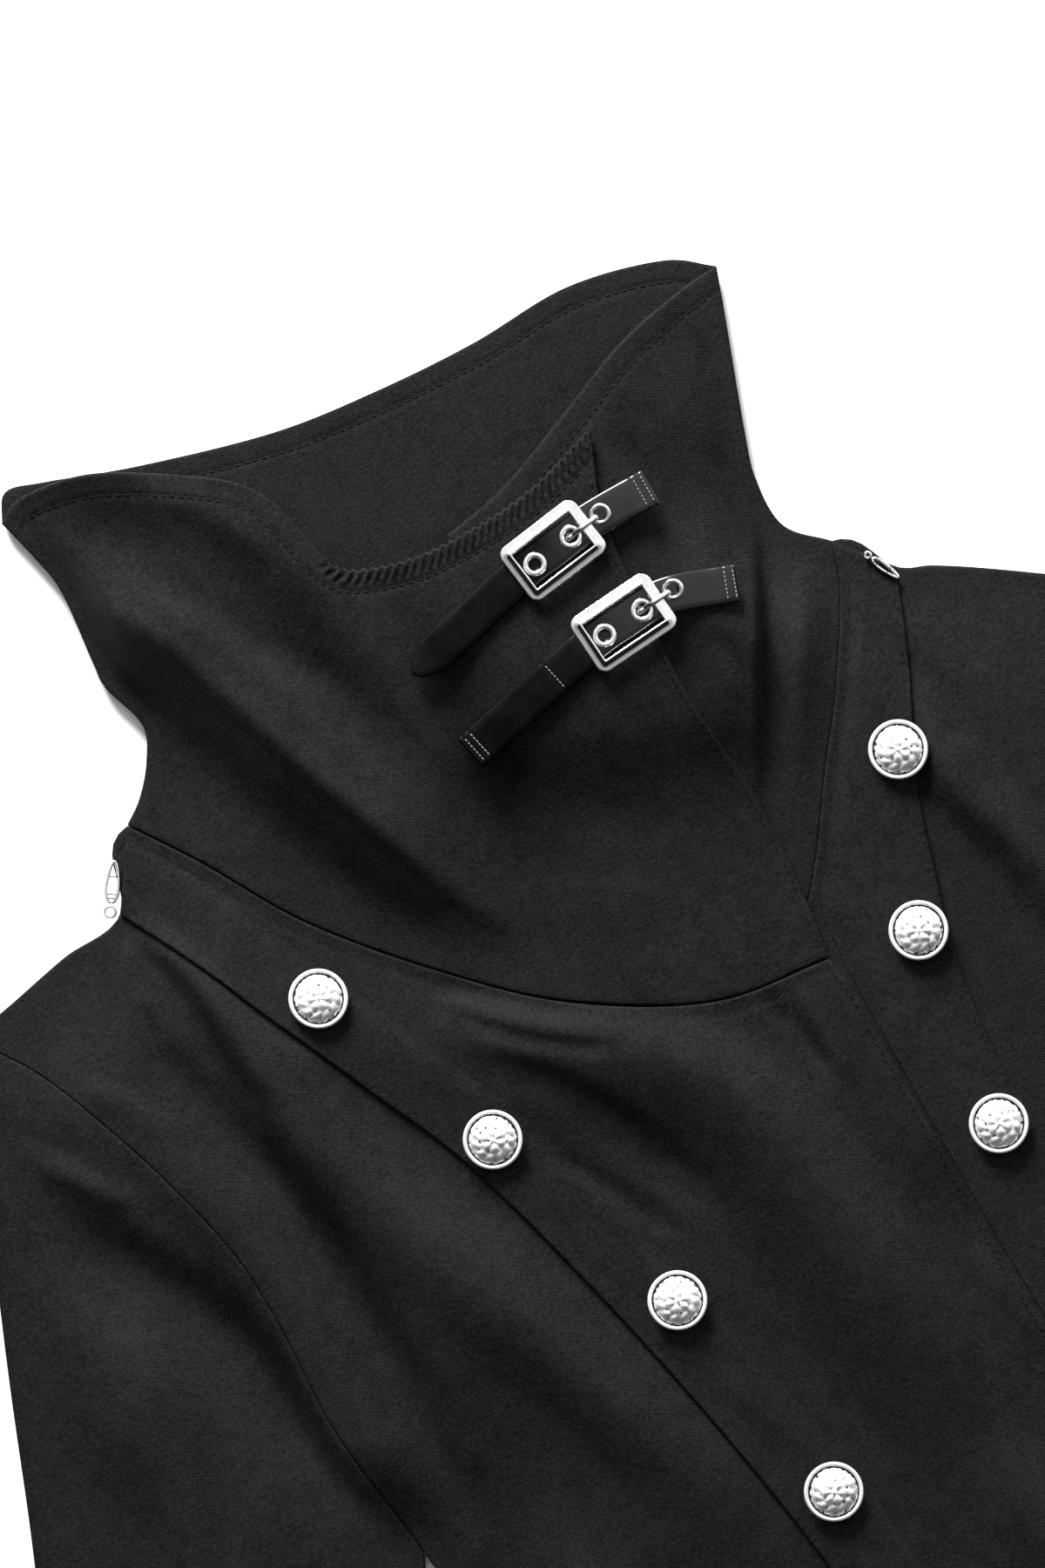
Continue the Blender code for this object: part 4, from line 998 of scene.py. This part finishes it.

# Painted shade: where the relief attribute is low, in the button's hollows and the groove inside its rim, the
# colour is near black.
cast = Finish("antiqued button metal", Metallic=0.6)
depth = cast.node("ShaderNodeAttribute", {"attribute_name": "relief"}, output="Fac")
grain = cast.noise(1500.0, 3.0)
hollow = depth + (grain - 0.5) * 0.35
button_metal = cast.surface(Base_Color=cast.ramp(hollow, (0.20, grey(0.015)), (0.34, grey(0.95))),
                            Roughness=0.12 + grain * 0.16,
                            Normal=cast.bump(grain, 0.25, 0.0002))

hide = Finish("black strap leather", Specular_IOR_Level=0.04, Coat_Roughness=0.22)
pores, sheen = hide.noise(1400.0, 3.0), hide.noise(120.0, 3.0)
across_jacket = hide.node("ShaderNodeSeparateXYZ", values={0: hide.node("ShaderNodeTexCoord", output="Object")})
worn = hide.node("ShaderNodeMapRange", {"interpolation_type": "SMOOTHSTEP"}, {
    "Value": across_jacket + sheen * 0.016, "From Min": 0.022, "From Max": 0.052, "To Min": 0.0, "To Max": 0.9})
leather = hide.surface(Base_Color=hide.ramp(sheen, (0.35, grey(0.001)), (0.7, grey(0.003, 0.12))),
                       Roughness=0.40 + sheen * 0.24, Coat_Weight=worn,
                       Normal=hide.bump(pores * 0.5 + sheen * 0.8, 0.35, 0.0003))
pale_finish = Finish("worn strap thread", Roughness=0.55)
pale_thread = pale_finish.surface(Base_Color=pale_finish.ramp(
    pale_finish.noise(1800.0), (0.3, grey(0.07)), (0.7, grey(0.17))))
print("metal and leather ready")

# %% [markdown]
# ## Turned and bent metal parts
# The metal is either turned or bent. One helper turns a profile about an axis, as a lathe does, for buttons
# and eyelets. Rings, prongs and the wire loops are swept along a path by the helper that made the threads.

# %% Lathe, rings and hardware
def lathe(profile, segments, relief=None):
    """Points, faces and painted lightness values of the relief of a closed turned form; the profile runs from
    the top to the base.
    """
    radius, z = np.array(profile).T
    turn = np.linspace(0, 2 * np.pi, segments, endpoint=False)
    r, height = radius[:, None] * np.ones(segments), z[:, None] * np.ones(segments)
    level = np.ones(r.shape)
    if relief:
        rise, level = relief(r, turn * np.ones(r.shape))
        height = height + rise
    points = np.dstack([r * np.cos(turn), r * np.sin(turn), height]).reshape(-1, 3)
    return points, quads(np.arange(len(points)).reshape(r.shape), ring=True), level.reshape(-1)


def ring_mesh(centre, radius, wire, count=40, tilt=0.0):
    turn = np.linspace(0, 2 * np.pi, count, endpoint=False)
    path = np.column_stack([radius * np.cos(turn), radius * np.sin(turn), tilt * np.cos(turn)])
    return wire_mesh(path + np.array(centre), wire, closed=True)


def hardware(name, meshes, finish, slot, *nodes):
    """One object of several meshes, riding on the jacket and standing for its solids."""
    made = mesh_object(name, *joined(meshes), finish)
    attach(made, "root")
    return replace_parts(made, *nodes) if nodes else made


print("metal pieces are turned with a lathe or swept as wire")

# %% [markdown]
# ## Ten domed buttons
# Each button is a struck dome inside a rolled rim, on a short shank. Its relief is an ordinary flower with a
# wreath of leaves on hammered ground; its hollows and the groove inside the rim are painted dark as shade. It
# tilts with the cloth beneath.

# %% Buttons
DOME_RADIUS = 7.9
RIM_RADIUS = 0.72


def button_profile():
    reach = np.linspace(0, 1, 22) ** 0.8
    dome = [(DOME_RADIUS * t + 1e-4, BUTTON_HEIGHT - 2.5 * t ** 2.2) for t in reach]
    turn = np.radians(np.linspace(150, -40, 10))
    rim = [(BUTTON_RADIUS - RIM_RADIUS + RIM_RADIUS * math.cos(a),
            BUTTON_HEIGHT - 2.75 + RIM_RADIUS * math.sin(a)) for a in turn]
    under = [(8.6, 1.7), (6.0, 1.5), (BUTTON_STEM, 1.4), (BUTTON_STEM, 0), (1e-4, 0)]
    return dome + [(DOME_RADIUS + 0.15, BUTTON_HEIGHT - 3.0)] + rim + under


def flower(radius, turn):
    """Rise of the relief in mm, and its painted lightness: 1 on top, near 0 in the hollows and the groove, as
    painted shade.
    """
    band = lambda low, high: np.sin(np.pi * np.clip((radius - low) / (high - low), 0, 1))
    petals = band(0.9, 4.3) * (0.5 + 0.5 * np.cos(6 * turn)) ** 0.7
    heart = np.clip(1 - radius / 1.1, 0, 1)
    leaves = band(4.2, 7.4) * (0.5 + 0.5 * np.cos(11 * turn + 0.9 * radius)) ** 0.8
    ground = 0.5 + 0.25 * np.sin(2.9 * radius * np.cos(turn) + 1) + 0.25 * np.sin(3.3 * radius * np.sin(turn))
    face = radius < DOME_RADIUS + 0.1
    groove = np.clip(1 - np.abs(radius - DOME_RADIUS - 0.1) / 0.45, 0, 1)
    rise = np.where(face, 0.42 * np.maximum(petals, leaves) + 0.35 * heart + 0.1 * ground - 0.2, 0)
    # Painted shade: lighter on the raised petals, leaves and heart, darker down in the hollows, with the
    # hammered ground's own unevenness.
    painted_lightness = 0.18 + 0.5 * np.maximum(petals, leaves) + 0.4 * heart + 0.25 * ground
    return rise, np.where(face, painted_lightness, 0.9) * (1 - groove)


def button(name, x, y, top, number):
    points, faces, level = lathe(button_profile(), 88, flower)
    step = BUTTON_STEM
    east, west, north, south, middle = [
        float(top(np.array([x + dx * step]), np.array([y + dy * step]))[0])
        for dx, dy in ((1, 0), (-1, 0), (0, 1), (0, -1), (0, 0))]
    tilt = Matrix.Rotation(math.atan((north - south) / (2 * step)), 3, "X")
    tilt = tilt @ Matrix.Rotation(-math.atan((east - west) / (2 * step)), 3, "Y")
    spin = Matrix.Rotation(1.7 * number, 3, "Z")
    seat = max(middle, (east + west) / 2, (north + south) / 2) + 1.5 * LAY_GAP
    points = points @ np.array(tilt @ spin).T + np.array([x, y, seat])
    made = hardware(name + "_metal", [(points, faces)], button_metal, "silver", name)
    # The relief attribute carries the painted shade of the hollows and the groove to the button material.
    made.data.attributes.new("relief", "FLOAT", "POINT").data.foreach_set("value", level.astype(np.float32))
    return made


buttons = {"right": [button(f"button_right_{k}", x, y, RIGHT_STRIP_TOP, k)
                     for k, (x, y) in enumerate(BUTTONS_RIGHT, 1)],
           "left": [button(f"button_left_{k}", x, y, LEFT_STRIP_TOP, k + 7)
                    for k, (x, y) in enumerate(BUTTONS_LEFT, 1)]}
print("buttons:", sum(map(len, buttons.values())), "with", len(buttons["left"][0].data.polygons), "faces each")

# %% [markdown]
# ## Two leather straps
# Each strap is a flat strip of leather with painted edges, a creased line beside each edge and two rows of
# stitching at its sewn end. The upper one ends in a rounded tip; the lower one is cut square and sewn down.

# %% Straps
STRAP_ROWS = 220
EYELET_HOLE = 2.15
SIDE_ROUNDING, END_ROUNDING = 0.9, 0.5
CREASE_DEPTH, CREASE_INSET, CREASE_WIDTH = 0.10, 1.1, 0.28
SEAM_DENT, SEAM_DENT_WIDTH = 0.16, 0.45
ACROSS = np.r_[-1, -0.985, -0.95, -0.88, np.linspace(-0.8, 0.8, 23), 0.88, 0.95, 0.985, 1]


def strap_line(points, count=STRAP_ROWS):
    """Centre line of a strap's underside, on the highest cloth beside it."""
    line = smooth_path(points, count)
    ring = [(0, 0), (6, 0), (-6, 0), (0, 5), (0, -5)]
    z = np.max([sheet_under_straps(line[:, 0] + dx, line[:, 1] + dy) for dx, dy in ring], axis=0)
    soft = np.convolve(np.pad(z, 9, mode="edge"), np.ones(19) / 19, mode="valid")
    return np.column_stack([line, np.maximum(z, soft) + STRAP_LIFT])


def strap(name, points, tip, holes, seams):
    """One strap of leather; returns its centre line, its side directions and the distance along it."""
    centre = strap_line(points)
    side = np.column_stack([leftward(centre[:, :2]), np.zeros(len(centre))])
    reach = run_of(centre[:, :2])
    half = STRAP_WIDTH / 2 * (np.sqrt(np.clip(reach / tip, 0.02, 1)) if tip else np.ones(len(reach)))
    grid = centre[:, None] + side[:, None] * (half[:, None] * ACROSS)[..., None]
    out = half[:, None] * (1 - np.abs(ACROSS))
    ends = np.minimum(reach, reach[-1] - reach)[:, None]
    form = np.sqrt(np.clip(out / SIDE_ROUNDING, 0, 1)) * np.sqrt(np.clip(ends / END_ROUNDING, 0, 1))
    form = form * 0.55 + 0.45 + 0.1 * (1 - ACROSS ** 2)
    form -= CREASE_DEPTH * np.exp(-((out - CREASE_INSET) / CREASE_WIDTH) ** 2)
    for seam in seams:
        form -= SEAM_DENT * np.exp(-((reach[:, None] - seam) / SEAM_DENT_WIDTH) ** 2)
    for hole in holes:
        away = np.hypot(grid[..., 0] - hole[0], grid[..., 1] - hole[1])
        form -= 0.62 * ease((EYELET_HOLE + 0.3 - away) / 0.7)
    upper = grid + np.array([0, 0, 1]) * (LEATHER * form)[..., None]
    hardware(name + "_leather", [closed_form(upper, grid)], leather, "leather", name)
    return centre, side, reach


def strap_seam(centre, side, reach, where, span=0.82):
    """Plan points and height of a short row of stitches across a strap."""
    k = np.searchsorted(reach, where)
    half = STRAP_WIDTH / 2 * span
    ends = centre[k, :2] + np.outer(np.linspace(-half, half, 12), side[k, :2])
    top = centre[k, 2] + LEATHER * 0.98
    return ends, lambda x, y: np.full(np.shape(x), top)


def buckle_spots(centre, turn):
    way = np.array([math.cos(math.radians(turn)), math.sin(math.radians(turn))])
    return [np.array(centre) + way * reach for reach in (-EYELET_REACH, EYELET_REACH, PRONG_RING_REACH)]


BUCKLE_UPPER = dict(centre=(29.4, 159.0), turn=9.5)
BUCKLE_LOWER = dict(centre=(38.4, 128.2), turn=6.0)
STRAPS = {}
# Sewn rows are measured from a strap's first end, or from its last end where they are negative.
for level, points, tip, place, rows in (
        ("upper", STRAP_UPPER, STRAP_TIP, BUCKLE_UPPER, (-4.4, -1.4)),
        ("lower", STRAP_LOWER, 0, BUCKLE_LOWER, (1.6, 4.2, 36.0, -4.2, -1.2))):
    length = length_of(points)
    sewn = [row if row > 0 else length + row for row in rows]
    line = strap(f"strap_{level}", points, tip, buckle_spots(**place)[:2], sewn)
    stitching(f"strap_{level}_stitches", [strap_seam(*line, where) for where in sewn], STRAP_PITCH,
              pale_thread)
    STRAPS[level] = line[0]
    print("strap", level, round(length), "mm long")

# %% [markdown]
# ## Two small buckles
# A buckle is a rectangular frame cast with a sloping face: its inner edge stands high and its outer edge is
# low. A prong hangs in a ring behind it and drops into an eyelet; the other eyelet is spare.

# %% Buckles
BUCKLE_FACE = [(0.15, 0.0), (0.0, 0.3), (0.0, 1.85), (0.14, 2.2), (0.42, 2.4), (0.72, 2.34), (0.95, 2.1),
               (2.95, 1.2), (3.25, 1.24), (3.55, 1.12), (3.76, 0.85), (3.8, 0.5), (3.74, 0.15), (3.55, 0.0)]


def buckle_frame(centre, turn, base):
    """A rounded rectangle with the bar's cross-section swept round it."""
    across, height = np.array(BUCKLE_FACE).T[..., None, None]
    middle, outward = [], []
    for quarter, (sx, sy) in enumerate(((1, 1), (-1, 1), (-1, -1), (1, -1))):
        for angle in np.radians(90 * quarter + np.linspace(0, 90, 9)):
            middle.append([sx * (BUCKLE_LENGTH / 2 - BUCKLE_CORNER), sy * (BUCKLE_HEIGHT / 2 - BUCKLE_CORNER)])
            outward.append([math.cos(angle), math.sin(angle)])
    radius = BUCKLE_CORNER - BUCKLE_BAR + across
    inner = np.maximum(radius, 0.25 + 0.2 * across)
    plan = np.array(middle) + np.array(outward) * inner - np.sign(middle) * (inner - radius)
    points = np.dstack([plan, np.broadcast_to(height, (*plan.shape[:2], 1))])
    index = np.arange(plan[..., 0].size).reshape(plan.shape[:2])
    spin = np.array(Matrix.Rotation(math.radians(turn), 3, "Z"))
    return points.reshape(-1, 3) @ spin.T + np.array([*centre, base]), quads(index, ring=True, closed=True)


def eyelet(x, y, z):
    """A pressed ring with a rolled flange round its hole."""
    turn = np.radians(np.linspace(200, -20, 11))
    flange = [(2.95 + 0.95 * math.cos(a), 0.1 + 0.62 * math.sin(a)) for a in turn]
    points, faces, _ = lathe([(2.0, -0.7)] + flange + [(3.8, -0.3), (2.0, -0.7)], 48)
    return points + np.array([x, y, z]), faces


def buckle(level, centre, turn):
    line = STRAPS[level]

    def strap_top(x, y):
        near = np.hypot(line[:, 0] - x, line[:, 1] - y).argmin()
        return line[near, 2] + LEATHER

    base = max(strap_top(centre[0] + dx, centre[1]) for dx in (-15, -8, 0, 8, 15)) + SEAM_GAP
    hardware(f"buckle_{level}_frame", [buckle_frame(centre, turn, base)], buckle_metal, "silver",
             f"buckle_{level}")
    far, tip, root = buckle_spots(centre, turn)
    for number, spot in ((1, far), (2, tip)):
        hardware(f"eyelet_{level}_{number}_ring", [eyelet(*spot, strap_top(*spot) + 0.35)], buckle_metal,
                 "silver", f"eyelet_{level}_{number}")
    hang = strap_top(*root) + SEAM_GAP + EYELET_WIRE
    hardware(f"prong_ring_{level}_wire", [ring_mesh((*root, hang + 0.3), 2.75, 0.72, tilt=0.5)], buckle_metal,
             "silver", f"prong_ring_{level}")
    way = (root - tip) / np.hypot(*(root - tip))
    low, high = strap_top(*tip) + 0.9, base + BUCKLE_DEPTH + 0.8
    rise = [(-1.6, low - 0.5), (-0.4, low), (1.2, low + 0.3), (3.2, high - 0.6), (4.6, high), (7.4, high),
            (9.0, high - 0.5), (10.6, hang + 1.6)]
    prong = wire_mesh([(*(tip + way * a), z) for a, z in smooth_path(rise, 30)], PRONG_RADIUS)
    hardware(f"prong_{level}_wire", [prong], buckle_metal, "silver", f"prong_{level}")
    return base


for level, place in (("upper", BUCKLE_UPPER), ("lower", BUCKLE_LOWER)):
    print("buckle", level, "stands", round(buckle(level, **place) + BUCKLE_DEPTH, 1), "mm above the table")

# %% [markdown]
# ## Wire loops at the shoulders
# A bent wire loop is sewn to the upper end of each strip, for a small hook on a cape or scarf. It is a long
# narrow loop that ends in a round sewing eye, with a few turns of thread round it.

# %% Wire loops
LOOP_WIRE, EYE_WIRE = 0.55, 0.42
WHIP_PLACES = (-0.7, -0.5, 0.35)


def shoulder_loop(name, middle, turn, half_length, half_width):
    along = np.array([math.cos(math.radians(turn)), math.sin(math.radians(turn)), 0])
    across = np.array([-along[1], along[0], 0])
    middle = np.array(middle)
    loop = [middle + along * half_length * math.cos(a) * (1 + 0.1 * math.cos(a))
            + across * half_width * math.sin(a) * (1.1 - 0.25 * math.cos(a))
            for a in np.linspace(0, 2 * np.pi, 48, endpoint=False)]
    eye = middle - along * (half_length + half_width + 0.6) + np.array([0, 0, 0.2])
    meshes = [wire_mesh(loop, LOOP_WIRE, closed=True), ring_mesh(eye, half_width, EYE_WIRE, tilt=0.2)]
    hardware(f"{name}_wire", meshes, buckle_metal, "silver", name)
    flat, faces = ring_mesh((0, 0, 0), 1.0, 0.16, count=20)
    upright = flat * (1.3, 1, 1) @ np.array([across, (0, 0, 1), along])
    whips = [(middle + along * half_length * place + upright, faces) for place in WHIP_PLACES]
    hardware(f"{name}_thread", whips, thread, "cloth")


WIRE_LOOPS = {
    "hook_right_loop": dict(middle=(-144.7, 131.3, 3.6), turn=57, half_length=6.6, half_width=1.75),
    "hook_left_loop": dict(middle=(120.6, 104.9, 5.9), turn=-64, half_length=5.0, half_width=0.95)}
for name, place in WIRE_LOOPS.items():
    shoulder_loop(name, **place)
print("wire loops:", len(WIRE_LOOPS))

# %% [markdown]
# ## Floor, light and camera
# The jacket was photographed from straight above on white. A pale floor, a soft light from the top of the
# picture, slightly to the left, and a dim room give that look. The camera hangs over the collar and is
# turned, because the jacket lies at an angle in the picture. A long lens keeps the view almost parallel.

# %% Stage
PICTURE_TURN = math.radians(28)
PICTURE_RIGHT = Vector((math.cos(PICTURE_TURN), -math.sin(PICTURE_TURN), 0))
PICTURE_UP = Vector((math.sin(PICTURE_TURN), math.cos(PICTURE_TURN), 0))
AIM = Vector((-13.95, 98.0, 12.0)) * MM
FIELD_HEIGHT = 0.5
LENS = 240.0
SENSOR = 36.0
FLOOR_HALF = 14.0
FLOOR_DROP = 0.0014

camera = bpy.data.objects.new("camera", bpy.data.cameras.new("camera"))
camera.data.lens = LENS
camera.data.sensor_width = SENSOR
camera.data.clip_end = 100.0
distance = FIELD_HEIGHT * LENS / SENSOR
camera.matrix_world = Matrix.Translation(AIM + Vector((0, 0, distance))) @ Matrix(
    (PICTURE_RIGHT, PICTURE_UP, (0, 0, 1))).transposed().to_4x4()
bpy.context.scene.collection.objects.link(camera)
bpy.context.scene.camera = camera

floor_finish = Finish("pale floor", Roughness=0.85, Specular_IOR_Level=0.2)
floor_finish.surface(Base_Color=floor_finish.ramp(
    floor_finish.noise(6.0), (0.4, grey(0.9, 0)), (0.6, grey(0.93, 0))))
corners = [(x * FLOOR_HALF, y * FLOOR_HALF, -FLOOR_DROP) for x, y in ((-1, -1), (1, -1), (1, 1), (-1, 1))]
floor = mesh_object("floor", np.array(corners) / MM, np.array([[0, 1, 2, 3]]), floor_finish.material)
floor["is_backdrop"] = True


def soft_light(name, along, size, power):
    lamp = bpy.data.lights.new(name, "AREA")
    lamp.shape, lamp.size, lamp.energy = "DISK", size, power
    made = bpy.data.objects.new(name, lamp)
    made.location = AIM + along
    made.rotation_euler = (-along).to_track_quat("-Z", "Y").to_euler()
    bpy.context.scene.collection.objects.link(made)
    return made


soft_light("window", PICTURE_RIGHT * -0.62 + PICTURE_UP * 1.66 + Vector((0, 0, 0.72)), 0.9, 165)
world = bpy.data.worlds.new("studio")
bpy.context.scene.world = world
world.use_nodes = True
room = Graph(world.node_tree)
look = room.node("ShaderNodeTexCoord", output="Generated")
bright_side = (PICTURE_RIGHT * 0.11 + PICTURE_UP * 0.80 + Vector((0, 0, 0.59))).normalized()
facing = room.node("ShaderNodeVectorMath", {"operation": "DOT_PRODUCT"}, {0: look, 1: bright_side}, "Value")
background = world.node_tree.nodes["Background"]
room.feed(background.inputs["Color"], room.ramp(
    facing * 0.5 + 0.5, (0.50, grey(0.01, 0)), (0.60, grey(0.34, 0)), (0.72, grey(0.42, 0)),
    (0.82, grey(1.0, 0))))
background.inputs["Strength"].default_value = 1.1
bpy.context.scene.view_settings.view_transform = "Standard"
print("camera", round(distance, 2), "m above the collar")

# %% [markdown]
# ## Ride and cutting sizes
# Every piece rides on the one rigid body, and the flat size each sheet of cloth was cut to is printed. A
# cutter leaves a little room round a panel, and so does the rectangle given here.

# %% Ride and sheet sizes
CUTTING_ROOM = 1.05

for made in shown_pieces():
    if made.name.endswith("_cloth"):
        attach(made, "root")


def cut(made, along=None):
    """Prints a panel's area and the rectangle it is cut from, by its extent in plan or by a strip's line."""
    area = sum(face.area for face in made.data.polygons) / 2
    corners = np.array([v.co[:2] for v in made.data.vertices])
    length = length_of(along) * MM if along else np.ptp(corners[:, 1])
    width = CUTTING_ROOM * area / length
    if not along:
        width = max(np.ptp(corners[:, 0]), width)
    print(f"{made.name}: cut from {width:.3f} x {length:.3f} m, area {area:.4f} m2")


cut(back)
cut(front_left)
cut(front_right)
cut(strip_right, STRIP_RIGHT_OUT)
cut(strip_left, STRIP_LEFT_OUT)
cut(collar_back)
cut(collar_left)
cut(collar_right)
cut(sleeve_right)
cut(sleeve_left)
